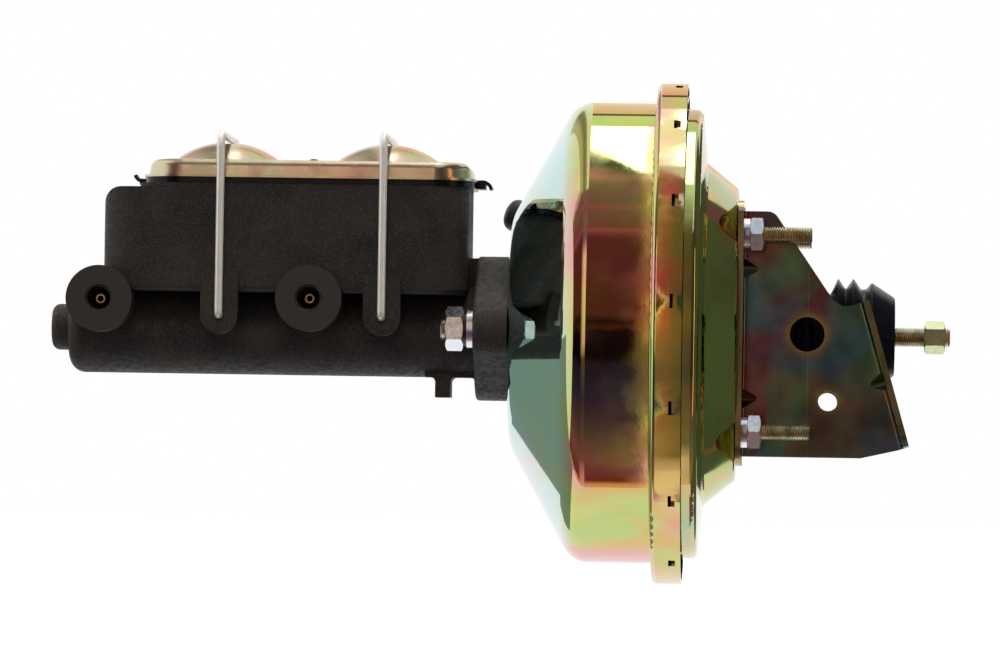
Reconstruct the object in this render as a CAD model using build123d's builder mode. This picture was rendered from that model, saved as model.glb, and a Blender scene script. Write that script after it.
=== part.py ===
from build123d import *
from math import cos, radians, sin, sqrt, tan
import os

# Vacuum brake booster with a two-bowl master cylinder on its front and two firewall brackets on its back.
# Millimetres. The booster's axis is the X axis, which points to the pedal, and Z is up. X = 0 is the face
# of the rear shell that the brackets bolt to. Every distance called _back is measured forwards from a face.

# Booster shells
shell_depth = 113.0
shell_r = 114.75
shell_sheet = 1.8
cone_foot_r = 56.5
cone_angle = 61.2
front_knee_r = 22.0
drum_knee_r = 14.0
rim_rise = 10.0
rim_start = 41.0
rim_width = 15.0
rim_knee_r = 2.5
bead_drop = 2.75
bead_x = -18.5
bead_knee_r = 3.5
hat_foot_x = -16.0
hat_foot_r = 85.5
hat_top_r = 72.5
hat_knee_r = 3.0
neck_r = 24.5
neck_length = 14.0
neck_lip = 3.4
tab_count = 15
tab_width = 7.0
tab_length = 2.6
tab_slot = 3.4
tab_reach = 3.2

# Fits between pieces
run_gap = 0.05
bolt_gap = 0.3
seat_gap = 0.3
touch_gap = 0.02

# Brackets
bracket_sheet = 2.8
bracket_inside = 30.0
bend_inner_r = 1.5
base_half_height = 65.0
base_reach = 57.0
base_corner_r = 9.0
plate_half_height = 60.5
plate_top_length = 17.5
plate_top_corner_r = 6.0
plate_slope_x = 47.0
plate_slope_z = 17.5
plate_dip_x = 52.5
plate_dip_z = 13.6
plate_dip_r = 6.0
plate_foot_x = 62.5
firewall_tilt = 16.0
firewall_x = 75.0
firewall_z = -19.0
firewall_top_z = 17.0
firewall_foot_z = -55.0
firewall_reach = 60.0
firewall_corner_r = 6.0
firewall_hole_r = 5.2
firewall_hole_y = 47.0
firewall_hole_pitch = 44.0
big_hole_r = 8.6
big_hole_x = 34.7
small_hole_r = 4.9
small_hole_x = 45.4
small_hole_z = -32.8
dart_reach = 8.7
dart_half_width = 5.4
dart_z = 32.0
dart_ridge_r = 1.8
firewall_dart_reach = 9.4
firewall_dart_half_width = 5.0
firewall_dart_drop = 3.0
firewall_dart_ridge_r = 2.6

# Fasteners
rear_stud_r = 4.0
rear_stud_y = 42.5
rear_stud_z = 48.65
rear_stud_length = 36.5
rear_stud_head_r = 6.3
rear_stud_head = 3.0
rear_washer_r = 7.85
rear_washer = 3.0
rear_nut_flats = 16.0
rear_nut = 6.75
mc_stud_r = 5.55
mc_stud_y = 42.9
mc_stud_past_nut = 2.4
mc_stud_head_r = 8.5
mc_stud_head = 3.5
mc_washer_r = 9.4
mc_washer = 3.0
mc_lock_washer_r = 8.4
mc_lock_washer = 1.6
mc_nut_flats = 19.0
mc_nut = 9.0
flat_to_side = 0
corner_to_side = 30
stud_plate_r = 51.0
stud_plate_half_height = 36.0
stud_plate_sheet = 3.0

# Power piston and its valve
valve_lead = 1.5
hub_r = 26.0
hub_flange_r = 38.0
hub_flange = 5.0
hub_front_x = -44.0
hub_rear_x = -14.0
valve_tube_r = 18.0
valve_tube_bore_r = 14.5
valve_tube_end_x = 74.0
disc_room_r = 13.0
disc_room_depth = 13.8
disc_thickness = 6.0
output_head = 6.5
output_rod_r = 5.0
plunger_r = 6.5
plunger_head_r = 9.4
plunger_head = 3.0
plunger_rear_x = 6.0
poppet_room_r = 13.4
poppet_room = 32.0
poppet_seat_r = 10.8
poppet_face = 2.5
poppet_mouth_r = 6.6
poppet_sleeve = 13.5
poppet_wall = 1.2
poppet_bead = 3.0
retainer_length = 6.0
retainer_bore_r = 7.4
poppet_spring_r = 8.4
poppet_wire_r = 0.5
poppet_spring_turns = 5
rod_spring_r = 10.4
rod_wire_r = 0.6
rod_spring_turns = 4
key_x = -12.0
key_thickness = 2.5
key_neck_r = 4.6
key_half_width = 7.5
key_tail = 21.0
key_fork = 8.0
plate_sheet = 1.5
plate_dish_r = 62.0
plate_step_x = -27.0
plate_step_r = 72.0
plate_rim_room = 11.75
plate_rim_depth = 10.0
diaphragm_sheet = 1.8
diaphragm_fold_room = 3.0
diaphragm_fold_depth = 8.3
diaphragm_bead_room = 1.95
diaphragm_bead_width = 6.5
front_seal_r = 25.0
front_seal = 3.6
spring_wire_r = 1.75
spring_coil_r = 29.0
spring_turns = 6

# Rod, boot and hub fittings
bearing_length = 4.5
seal_length = 6.0
rod_r = 4.76
rod_end_x = 105.8
rod_ball_r = 4.6
rod_ball_x = -2.0
rod_ball_neck_r = 3.4
rod_neck_end_x = 10.0
rod_collar_r = 12.0
rod_collar_x = 42.0
rod_collar = 2.0
rod_chamfer = 0.8
jam_nut_x = 93.0
jam_nut = 10.2
jam_nut_flats = 14.2
boot_peak_r = 29.0
boot_valley_r = 23.5
boot_small_peak_r = 24.4
boot_small_valley_r = 20.6
boot_small_peaks = 3
boot_wall = 1.3
boot_pitch = 7.6
boot_peaks = 5
boot_last_peak_x = 57.4
boot_cuff = 2.0
boot_cuff_start_x = 4.0
boot_cap_r = 27.0
boot_cap_peak_x = 66.5
boot_cap_end_r = 20.0
boot_cap_end_x = 77.3
boot_face_x = 78.2
boot_mouth_r = 8.5
filter_length = 17.0
silencer_length = 8.5

# Vacuum check valve, on the cone behind the top
check_turn = 43.0
check_r = 76.0
check_pad_r = 10.6
check_pad_rise = 0.6
grommet_r = 8.75
grommet_lip = 3.0
grommet_hole_r = 6.0
grommet_foot_r = 7.4
check_stem_r = 4.6
check_body_r = 8.2
check_body = 13.5
check_knee_r = 4.0
nipple_r = 4.6
nipple_bore_r = 2.6
nipple_length = 27.0
nipple_height = 7.5
nipple_stop_r = 5.9
nipple_stop = 10.5

# Master cylinder casting
mc_length = 229.5
nose_length = 9.0
nose_r = 11.5
nose_drop = 1.0
barrel_r = 23.5
barrel_knee_r = 8.0
bore_r = 12.7
barrel_end_wall = 20.5
pilot_r = 19.0
pilot_length = 4.0
flange = 17.0
flange_r = 36.0
flange_rise = 1.2
ear_r = 14.0
bowl_gap = 20.75
body_length = 181.25
body_half_width = 41.0
body_corner_r = 18.0
body_foot_z = 17.0
body_top_z = 68.3
shoulder_r = 9.0
foot_knee_r = 3.0
nose_knee_r = 4.0
flange_knee_r = 2.0
web_half_width = 9.0
divider_shift = 45.0
rim_back = 184.5
rim_top_z = 70.5
rim_corner_r = 18.0
bowl_wall = 5.0
divider = 6.0
bowl_floor_z = 21.0
bowl_corner_r = 13.0
leg_back = 37.0
leg_width = 7.5
leg_foot_z = -33.5
leg_half_width = 11.0
leg_root_r = 2.6
front_port_back = 202.4
front_port_z = 12.5
rear_port_back = 98.6
rear_port_z = 14.0
port_boss_r = 16.4
port_face_y = 46.0
port_thread_r = 5.7
port_mouth_r = 7.0
port_depth = 11.0
seat_pocket_r = 4.7
seat_pocket = 5.0
port_drill_r = 2.2
seat_nose_r = 2.3
seat_bore_r = 1.5
seat_height = 3.0
seat_base = 2.0
front_bail_back = 143.0
rear_bail_back = 62.5
pivot_z = 5.2
lug_r = 9.25
lug_inside = 33.0
lug_outside = 43.4
lug_top_z = 27.0

# Lid, gasket and bails
lid_front_back = 182.5
lid_rear_back = 17.5
lid_half_width = 42.0
lid_corner_r = 20.0
lid_sheet = 1.2
lid_lip = 2.0
lid_height = 9.0
lid_knee_r = 4.5
lid_lean = 10.0
dome_r = 27.0
dome_height = 9.9
groove_width = 8.6
groove_depth = 0.95
gasket = 3.0
gasket_inset = 0.8
gasket_pocket = 9.0
nub_r = 2.2
nub_height = 2.2
tab_half_width = 7.0
tab_reach_out = 4.0
pocket_r = 26.0
bail_wire_r = 2.0
bail_half_width = 46.2
bail_hook_y = 34.0
bail_bend_r = 7.0
bail_hook_bend_r = 2.7
bail_over_dome = 0.35

# Master cylinder pistons
land_gap = 0.05
piston_core_r = 8.0
cup_nose_r = 6.0
bypass_hole_r = 0.8
intake_hole_r = 3.0
ring_groove_r = 14.2
ring_bore_r = 10.5
ring_gap_width = 9.0
primary_back = 5.0
primary_length = 66.0
secondary_back = 112.0
secondary_length = 58.0
cup_width = 6.0
piston_socket_r = 6.5
piston_socket_depth = 12.0
ring_sheet = 1.5
ring_back = 2.5
mc_spring_wire_r = 0.9
mc_spring_r = 9.0
mc_spring_turns = 5

# Places worked out from the sizes above
front_x = -shell_depth
rim_r = shell_r + rim_rise
lip_inner_r = rim_r - shell_sheet
bead_r = shell_r - bead_drop
plate_rim_r = shell_r - plate_rim_room
diaphragm_fold_r = plate_rim_r + diaphragm_fold_room
diaphragm_bead_outer_r = lip_inner_r - diaphragm_bead_room
diaphragm_bead_inner_r = diaphragm_bead_outer_r - diaphragm_bead_width
rim_front_x = -rim_start
rim_rear_x = rim_front_x + rim_width
nose_x = front_x - mc_length
barrel_end_x = nose_x + nose_length
flange_front_x = front_x - flange
body_rear_x = front_x - bowl_gap
body_front_x = body_rear_x - body_length
front_pivot_x = front_x - front_bail_back
rear_pivot_x = front_x - rear_bail_back
front_port_x = front_x - front_port_back
rear_port_x = front_x - rear_port_back
lid_foot_z = rim_top_z + gasket
lid_top_z = lid_foot_z + lid_height
dome_top_z = lid_top_z + dome_height
bail_top_z = dome_top_z + bail_over_dome + bail_wire_r
rear_stud_places = [(y, z) for y in (-rear_stud_y, rear_stud_y) for z in (-rear_stud_z, rear_stud_z)]
mc_stud_places = [(-mc_stud_y, 0), (mc_stud_y, 0)]

os.makedirs("parts", exist_ok=True)


def finish(piece, name):
    """Label a finished piece and write it as its own file."""
    piece.part.label = name
    export_step(piece.part, f"parts/{name}.step")


def turned(*corners):
    """Turn a solid about the X axis from the corners, each x and radius, of half its section."""
    with BuildPart() as piece:
        with BuildSketch(Plane.XZ):
            with BuildLine():
                Polyline(*corners, close=True)
            make_face()
        revolve(axis=Axis.X)
    return piece


def pressed(corners, knees, sheet, side):
    """Spin even sheet about the X axis. Its outer line runs through the corners, rounded by the knees."""
    with BuildPart() as piece:
        with BuildSketch(Plane.XZ):
            with BuildLine():
                FilletPolyline(*corners, radius=knees)
                offset(amount=sheet, side=side)
            make_face()
        revolve(axis=Axis.X)
    return piece


def headed_studs(places, head_x, seat_x, end_x, head_r, shank_r):
    """Studs along X whose heads lie from head_x to seat_x and whose shanks end at end_x."""
    with BuildPart() as studs:
        with BuildSketch(Plane.YZ.offset(head_x)):
            with Locations(*places):
                Circle(head_r)
        extrude(amount=seat_x - head_x)
        with BuildSketch(Plane.YZ.offset(seat_x)):
            with Locations(*places):
                Circle(shank_r)
        extrude(amount=end_x - seat_x)
    return studs


def washers(places, start_x, thickness, outer_r, hole_r):
    """Flat rings along X at the places."""
    with BuildPart() as rings:
        with BuildSketch(Plane.YZ.offset(start_x)):
            with Locations(*places):
                Circle(outer_r)
                Circle(hole_r, mode=Mode.SUBTRACT)
        extrude(amount=thickness)
    return rings


def hex_nuts(places, start_x, thickness, flats, hole_r, turn):
    """Hexagon nuts along X at the places, turned so that a corner or a flat faces the side."""
    with BuildPart() as nuts:
        with BuildSketch(Plane.YZ.offset(start_x)):
            with Locations(*places):
                RegularPolygon(flats / 2, 6, major_radius=False, rotation=turn)
                Circle(hole_r, mode=Mode.SUBTRACT)
        extrude(amount=thickness)
    return nuts


def coil_spring(start_x, end_x, coil_r, wire_r, turns):
    """A helical spring about the X axis whose wire lies between start_x and end_x."""
    height = end_x - start_x - 2 * wire_r
    with BuildPart() as spring:
        with BuildLine() as path:
            Helix(height / turns, height, coil_r, center=(start_x + wire_r, 0, 0), direction=(1, 0, 0))
        with BuildSketch(path.line ^ 0):
            Circle(wire_r)
        sweep(is_frenet=True)
    return spring


# Front shell: flat face, cone, drum and a stepped rim that takes the rear shell
cone_run = (shell_r - cone_foot_r) / tan(radians(cone_angle))
drum_start_x = front_x + cone_run
front_skin = pressed(
    [
        (front_x, pilot_r + bolt_gap),
        (front_x, cone_foot_r),
        (drum_start_x, shell_r),
        (rim_front_x, shell_r),
        (rim_front_x, rim_r),
        (rim_rear_x, rim_r),
    ],
    [front_knee_r, drum_knee_r, shell_sheet / 2, rim_knee_r],
    shell_sheet,
    Side.RIGHT,
)
cone_normal = Vector(-sin(radians(cone_angle)), 0, cos(radians(cone_angle))).rotate(Axis.X, -check_turn)
check_foot = Vector(front_x + (check_r - cone_foot_r) / tan(radians(cone_angle)), 0, check_r)
check_plane = Plane(
    origin=check_foot.rotate(Axis.X, -check_turn),
    x_dir=Vector(0, 1, 0).cross(cone_normal),
    z_dir=cone_normal,
)
check_pad_thickness = 2 * check_pad_rise + shell_sheet
with BuildPart() as front_shell:
    add(front_skin.part)
    # A flat pad on the cone seats the check valve's grommet.
    with BuildSketch(check_plane.offset(check_pad_rise)):
        Circle(check_pad_r)
    extrude(amount=-check_pad_thickness)
    with BuildSketch(check_plane.offset(check_pad_rise)):
        Circle(grommet_hole_r)
    extrude(amount=-check_pad_thickness, mode=Mode.SUBTRACT)
    with BuildSketch(Plane.YZ.offset(front_x - 1)):
        with Locations(*mc_stud_places):
            Circle(mc_stud_r + bolt_gap / 2)
    extrude(amount=shell_depth / 4, mode=Mode.SUBTRACT)
    # Staked tabs: a slot is cut through the rim and the strip behind it is pushed inwards.
    tab_start_x = rim_rear_x - tab_length
    with BuildSketch(Plane.XY.offset(lip_inner_r - tab_reach)):
        with Locations((tab_start_x - tab_slot / 2, 0)):
            Rectangle(tab_slot, tab_width)
    slot = extrude(amount=rim_r, mode=Mode.PRIVATE)
    with BuildSketch(Plane.XZ.offset(-tab_width / 2)):
        with BuildLine():
            Polyline(
                (tab_start_x, lip_inner_r + touch_gap),
                (rim_rear_x - touch_gap, lip_inner_r + touch_gap),
                (tab_start_x + shell_sheet, lip_inner_r - tab_reach),
                (tab_start_x, lip_inner_r - tab_reach),
                close=True,
            )
        make_face()
    tab = extrude(amount=tab_width, mode=Mode.PRIVATE)
    turns = [Rotation(360 / tab_count * (k + 0.5), 0, 0) for k in range(tab_count)]
    add([turn * slot for turn in turns], mode=Mode.SUBTRACT)
    add([turn * tab for turn in turns])
finish(front_shell, "front_shell")


# Rear shell: flange behind the tabs, bead, flat ring, hat and a neck with an in-turned lip
rear_flange_x = tab_start_x - touch_gap
rear_shell_skin = pressed(
    [
        (rear_flange_x, lip_inner_r - bolt_gap),
        (rear_flange_x, bead_r),
        (bead_x, bead_r),
        (hat_foot_x, hat_foot_r),
        (0, hat_top_r),
        (0, neck_r),
        (neck_length, neck_r),
        (neck_length, neck_r - neck_lip),
    ],
    [shell_sheet / 4, bead_knee_r, hat_knee_r, hat_knee_r, shell_sheet / 2, shell_sheet + 0.4],
    shell_sheet,
    Side.RIGHT,
)
with BuildPart() as rear_shell:
    add(rear_shell_skin.part)
    with BuildSketch(Plane.YZ.offset(-shell_sheet * 2)):
        with Locations(*rear_stud_places):
            Circle(rear_stud_r + bolt_gap / 2)
    extrude(amount=shell_sheet * 3, mode=Mode.SUBTRACT)
finish(rear_shell, "rear_shell")

# Stud plate: an oval stiffener behind the front face, with the two studs of the master cylinder
stud_plate_x = front_x + shell_sheet + touch_gap
with BuildPart() as stud_plate:
    with BuildSketch(Plane.YZ.offset(stud_plate_x)):
        Circle(stud_plate_r)
        Rectangle(2 * stud_plate_r, 2 * stud_plate_half_height, mode=Mode.INTERSECT)
        Circle(pilot_r + bolt_gap, mode=Mode.SUBTRACT)
        with Locations(*mc_stud_places):
            Circle(mc_stud_r + bolt_gap / 2, mode=Mode.SUBTRACT)
    extrude(amount=stud_plate_sheet)
finish(stud_plate, "stud_plate")

stud_plate_back_x = stud_plate_x + stud_plate_sheet
mc_washer_x = flange_front_x - mc_washer
mc_lock_washer_x = mc_washer_x - mc_lock_washer
mc_nut_x = mc_lock_washer_x - mc_nut
mc_studs = headed_studs(
    mc_stud_places,
    stud_plate_back_x + mc_stud_head,
    stud_plate_back_x,
    mc_nut_x - mc_stud_past_nut,
    mc_stud_head_r,
    mc_stud_r,
)
finish(mc_studs, "mc_studs")
finish(washers(mc_stud_places, mc_washer_x, mc_washer, mc_washer_r, mc_stud_r + bolt_gap), "mc_washers")
mc_lock_washers = washers(
    mc_stud_places, mc_lock_washer_x, mc_lock_washer, mc_lock_washer_r, mc_stud_r + bolt_gap
)
finish(mc_lock_washers, "mc_lock_washers")
finish(
    hex_nuts(mc_stud_places, mc_nut_x, mc_nut, mc_nut_flats, mc_stud_r + touch_gap, flat_to_side),
    "mc_nuts",
)

# Rear studs stand through the hat, the brackets, the washers and the nuts
stud_seat_x = -shell_sheet - touch_gap
rear_studs = headed_studs(
    rear_stud_places,
    stud_seat_x - rear_stud_head,
    stud_seat_x,
    rear_stud_length,
    rear_stud_head_r,
    rear_stud_r,
)
finish(rear_studs, "rear_studs")
rear_nut_x = bracket_sheet + rear_washer
finish(
    washers(rear_stud_places, bracket_sheet, rear_washer, rear_washer_r, rear_stud_r + bolt_gap),
    "rear_washers",
)
finish(
    hex_nuts(
        rear_stud_places, rear_nut_x, rear_nut, rear_nut_flats, rear_stud_r + touch_gap, corner_to_side
    ),
    "rear_nuts",
)

# Brackets: a base flange on the booster, a side plate and a slanted flange on the firewall
plate_y = -bracket_inside - bracket_sheet
slope = tan(radians(firewall_tilt))
outward = Vector(cos(radians(firewall_tilt)), 0, sin(radians(firewall_tilt)))


def firewall_at(z):
    """X of the firewall face at a height."""
    return firewall_x + (firewall_z - z) * slope


bend_outer_r = bend_inner_r + bracket_sheet
slant_top = Vector(firewall_at(firewall_top_z), firewall_top_z)
slant_foot = Vector(firewall_at(firewall_foot_z), firewall_foot_z)
slant_edge = Vector(outward.X, outward.Z) * (bend_outer_r + 1)
with BuildPart() as bracket_near:
    # Side plate, cut to a slope above and to the firewall's slant behind
    with BuildSketch(Plane.XZ.offset(bracket_inside)) as plate:
        with BuildLine():
            Polyline(
                (0, plate_half_height),
                (plate_top_length, plate_half_height),
                (plate_slope_x, plate_slope_z),
                (plate_dip_x, plate_dip_z),
                slant_top - slant_edge,
                slant_top,
                slant_foot,
                slant_foot - slant_edge,
                (plate_foot_x, -plate_half_height),
                (0, -plate_half_height),
                close=True,
            )
        make_face()
        top_corner = plate.vertices().filter_by_position(Axis.X, plate_top_length - 1, plate_top_length + 1)
        fillet(top_corner, plate_top_corner_r)
        dip = plate.vertices().filter_by_position(Axis.X, plate_dip_x - 1, plate_dip_x + 1)
        fillet(dip.sort_by(Axis.Y)[-1], plate_dip_r)
    extrude(amount=bracket_sheet)
    # Base flange, wider than the plate and rounded at its outer corners
    with BuildSketch(Plane.YZ) as base:
        with BuildLine():
            Polyline(
                (-bracket_inside, plate_half_height),
                (plate_y - bend_inner_r, plate_half_height),
                (plate_y - bend_inner_r, base_half_height),
                (-base_reach, base_half_height),
                (-base_reach, -base_half_height),
                (plate_y - bend_inner_r, -base_half_height),
                (plate_y - bend_inner_r, -plate_half_height),
                (-bracket_inside, -plate_half_height),
                close=True,
            )
        make_face()
        fillet(base.vertices().group_by(Axis.X)[0], base_corner_r)
    extrude(amount=bracket_sheet)
    # Slanted flange on the firewall
    slant_middle_z = (firewall_top_z + firewall_foot_z) / 2
    slant_length = (firewall_top_z - firewall_foot_z) / cos(radians(firewall_tilt))
    slant = Plane(origin=(firewall_at(slant_middle_z), 0, slant_middle_z), x_dir=(0, 1, 0), z_dir=outward)
    with BuildSketch(slant) as slant_sketch:
        with Locations((-(bracket_inside + firewall_reach) / 2, 0)):
            Rectangle(firewall_reach - bracket_inside, slant_length)
        fillet(slant_sketch.vertices().group_by(Axis.Y)[0], firewall_corner_r)
        with Locations(
            (-firewall_hole_y, firewall_hole_pitch / 2),
            (-firewall_hole_y, -firewall_hole_pitch / 2),
        ):
            Circle(firewall_hole_r, mode=Mode.SUBTRACT)
    extrude(amount=-bracket_sheet)
    # Both bends are rounded inside and outside
    bends = bracket_near.edges()
    fillet(bends.sort_by_distance((0, -bracket_inside, 0))[0], bend_outer_r)
    slant_start = Vector(firewall_x, -bracket_inside, firewall_z)
    fillet(bracket_near.edges().sort_by_distance(slant_start)[0], bend_outer_r)
    fillet(bracket_near.edges().sort_by_distance((bracket_sheet, plate_y, 0))[0], bend_inner_r)
    slant_inside = slant_start - outward * bracket_sheet - Vector(0, bracket_sheet, 0)
    fillet(bracket_near.edges().sort_by_distance(slant_inside)[0], bend_inner_r)
    # Darts pressed across the bends, each a ridge over the inside corner: two at the base, one at the firewall
    base_way = Vector(1, -1, 0)
    base_corner = Vector(bracket_sheet, plate_y, 0)
    slant_way = -outward - Vector(0, 1, 0)
    slant_corner = slant_inside - slant.y_dir * firewall_dart_drop
    for corner, way, along, reach, half_width, ridge_r in (
        (base_corner + Vector(0, 0, dart_z), base_way, Vector(1, 1, 0), dart_reach, dart_half_width, dart_ridge_r),
        (base_corner - Vector(0, 0, dart_z), base_way, Vector(1, 1, 0), dart_reach, dart_half_width, dart_ridge_r),
        (
            slant_corner,
            slant_way,
            Vector(0, 1, 0) - outward,
            firewall_dart_reach,
            firewall_dart_half_width,
            firewall_dart_ridge_r,
        ),
    ):
        ridge = reach / sqrt(2)
        with BuildSketch(Plane(origin=corner, x_dir=way, z_dir=along)) as dart:
            with BuildLine():
                Polyline(
                    (-bracket_sheet, -half_width * (1 + bracket_sheet / ridge)),
                    (ridge, 0),
                    (-bracket_sheet, half_width * (1 + bracket_sheet / ridge)),
                    close=True,
                )
            make_face()
            fillet(dart.vertices().sort_by(Axis.X)[-1], ridge_r)
        extrude(amount=ridge + 2 * bracket_sheet, both=True)
    # What the darts push through the outer faces is cut flush
    with Locations((-shell_depth / 2, 0, 0)):
        Box(shell_depth, 4 * base_reach, 4 * base_half_height, mode=Mode.SUBTRACT)
    with Locations((0, -bracket_inside + base_reach / 2, 0)):
        Box(4 * base_reach, base_reach, 4 * base_half_height, mode=Mode.SUBTRACT)
    with Locations(slant):
        Cylinder(
            2 * base_reach,
            base_reach,
            align=(Align.CENTER, Align.CENTER, Align.MIN),
            mode=Mode.SUBTRACT,
        )
    # Holes: studs through the base, and two through the plate
    with BuildSketch(Plane.YZ):
        with Locations((-rear_stud_y, rear_stud_z), (-rear_stud_y, -rear_stud_z)):
            Circle(rear_stud_r + bolt_gap)
    extrude(amount=bracket_sheet, mode=Mode.SUBTRACT)
    with BuildSketch(Plane.XZ.offset(bracket_inside)):
        with Locations((big_hole_x, 0)):
            Circle(big_hole_r)
        with Locations((small_hole_x, small_hole_z)):
            Circle(small_hole_r)
    extrude(amount=bracket_sheet, mode=Mode.SUBTRACT)
finish(bracket_near, "bracket_near")

with BuildPart() as bracket_far:
    mirror(bracket_near.part, about=Plane.XZ)
finish(bracket_far, "bracket_far")

# Boot: cuff on the neck, bellows, and a cap on the end of the valve tube
boot_first_peak_x = boot_last_peak_x - boot_pitch * (boot_peaks - 1)
cuff_end_x = neck_length - shell_sheet
folds = [(cuff_end_x, neck_r + boot_cuff), (boot_first_peak_x - boot_pitch / 2, boot_small_valley_r)]
for k in range(boot_peaks):
    peak_x = boot_first_peak_x + k * boot_pitch
    if k < boot_small_peaks:
        folds += [(peak_x, boot_small_peak_r), (peak_x + boot_pitch / 2, boot_small_valley_r)]
    else:
        folds += [(peak_x, boot_peak_r), (peak_x + boot_pitch / 2, boot_valley_r)]
cap_start_x = boot_last_peak_x + boot_pitch / 2 + boot_wall
folds.append((cap_start_x + boot_wall, boot_valley_r))
tube_fit_r = valve_tube_r + touch_gap
with BuildPart() as boot:
    with BuildSketch(Plane.XZ):
        with BuildLine():
            FilletPolyline(*folds, radius=boot_wall / 2)
            offset(amount=boot_wall, side=Side.RIGHT)
        make_face()
    revolve(axis=Axis.X)
    with BuildSketch(Plane.XZ):
        with BuildLine():
            Polyline(
                (boot_cuff_start_x, neck_r + touch_gap),
                (boot_cuff_start_x, neck_r + boot_cuff),
                (cuff_end_x, neck_r + boot_cuff),
                (cuff_end_x, neck_r + touch_gap),
                close=True,
            )
        make_face()
        with BuildLine():
            Polyline(
                (cap_start_x, tube_fit_r),
                (cap_start_x, boot_valley_r),
                (boot_cap_peak_x, boot_cap_r),
                (boot_cap_end_x, boot_cap_end_r),
                (boot_face_x, boot_cap_end_r - (boot_face_x - boot_cap_end_x)),
                (boot_face_x, boot_mouth_r),
                (valve_tube_end_x + touch_gap, boot_mouth_r),
                (valve_tube_end_x + touch_gap, tube_fit_r),
                close=True,
            )
        make_face()
    revolve(axis=Axis.X)
finish(boot, "boot")

# Neck fittings: a lip seal and a bearing ring hold the sliding tube of the valve body
neck_bore_r = neck_r - shell_sheet
bearing_end_x = neck_length - shell_sheet - touch_gap
bearing_start_x = bearing_end_x - bearing_length
ring_fit_r = neck_bore_r - touch_gap
tube_run_r = valve_tube_r + run_gap
ring_chamfer = shell_sheet / 3
neck_bearing = turned(
    (bearing_start_x, tube_run_r),
    (bearing_start_x, ring_fit_r),
    (bearing_end_x - 3 * ring_chamfer, ring_fit_r),
    (bearing_end_x, ring_fit_r - 3 * ring_chamfer),
    (bearing_end_x, tube_run_r),
)
finish(neck_bearing, "neck_bearing")

seal_end_x = bearing_start_x - touch_gap
seal_start_x = seal_end_x - seal_length
seal_groove_r = (neck_bore_r + valve_tube_r) / 2
neck_seal = turned(
    (seal_end_x, tube_run_r),
    (seal_end_x, ring_fit_r),
    (seal_start_x, ring_fit_r),
    (seal_start_x, seal_groove_r + ring_chamfer),
    (seal_start_x + seal_length / 2, seal_groove_r + ring_chamfer),
    (seal_start_x + seal_length / 2, seal_groove_r - ring_chamfer),
    (seal_start_x, tube_run_r + ring_chamfer),
    (seal_start_x + ring_chamfer, tube_run_r),
)
finish(neck_seal, "neck_seal")

# Front seal: a rubber collar on the back of the stud plate, round the output rod
front_seal_ring = turned(
    (stud_plate_x, output_rod_r + run_gap),
    (stud_plate_x, pilot_r - touch_gap),
    (stud_plate_back_x + touch_gap, pilot_r - touch_gap),
    (stud_plate_back_x + touch_gap, front_seal_r),
    (stud_plate_back_x + front_seal, front_seal_r),
    (stud_plate_back_x + front_seal, output_rod_r + run_gap),
)
finish(front_seal_ring, "front_seal")

# Valve body: hub with a flange for the plate, a long tube through the neck and the rooms of the valve
hub_flange_x = hub_rear_x - hub_flange
disc_floor_x = hub_front_x + disc_room_depth
plunger_bore_r = plunger_r + run_gap
head_front_x = plunger_rear_x - plunger_head
head_room_x = head_front_x - valve_lead - seat_gap
poppet_seat_x = plunger_rear_x - seat_gap - valve_lead / 2
poppet_room_end_x = poppet_seat_x + poppet_room
valve_turning = turned(
    (hub_front_x, disc_room_r),
    (hub_front_x, hub_r - touch_gap),
    (hub_flange_x, hub_r - touch_gap),
    (hub_flange_x, hub_flange_r),
    (hub_rear_x, hub_flange_r),
    (hub_rear_x, valve_tube_r),
    (valve_tube_end_x, valve_tube_r),
    (valve_tube_end_x, valve_tube_bore_r),
    (poppet_room_end_x, valve_tube_bore_r),
    (poppet_room_end_x, poppet_room_r),
    (poppet_seat_x, poppet_room_r),
    (poppet_seat_x, poppet_seat_r),
    (head_room_x, plunger_head_r + seat_gap),
    (head_room_x, plunger_bore_r),
    (disc_floor_x, plunger_bore_r),
    (disc_floor_x, disc_room_r),
)
with BuildPart() as valve_body:
    add(valve_turning.part)
    # A slot across the tube takes the key that holds the plunger.
    with Locations((key_x, (key_fork - key_tail) / 2, 0)):
        Box(
            key_thickness + 2 * run_gap,
            key_fork + key_tail + 2 * seat_gap,
            2 * (key_half_width + run_gap),
            mode=Mode.SUBTRACT,
        )
finish(valve_body, "valve_body")

with BuildPart() as plunger_key:
    with BuildSketch(Plane.YZ.offset(key_x - key_thickness / 2)):
        with Locations(((key_fork - key_tail) / 2, 0)):
            Rectangle(key_fork + key_tail, 2 * key_half_width)
        Circle(key_neck_r + run_gap, mode=Mode.SUBTRACT)
        with Locations((key_fork / 2, 0)):
            Rectangle(key_fork, 2 * (key_neck_r + run_gap), mode=Mode.SUBTRACT)
    extrude(amount=key_thickness)
finish(plunger_key, "plunger_key")

disc_fit_r = disc_room_r - run_gap
disc_back_x = disc_floor_x - touch_gap
disc_front_x = disc_back_x - disc_thickness
reaction_disc = turned(
    (disc_front_x, 0),
    (disc_front_x, disc_fit_r),
    (disc_back_x, disc_fit_r),
    (disc_back_x, 0),
)
finish(reaction_disc, "reaction_disc")

# Master cylinder pistons stand one behind the other in the bore
primary_rear_x = front_x - primary_back
primary_front_x = primary_rear_x - primary_length
secondary_rear_x = front_x - secondary_back
secondary_front_x = secondary_rear_x - secondary_length
socket_floor_x = primary_rear_x - piston_socket_depth

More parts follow.
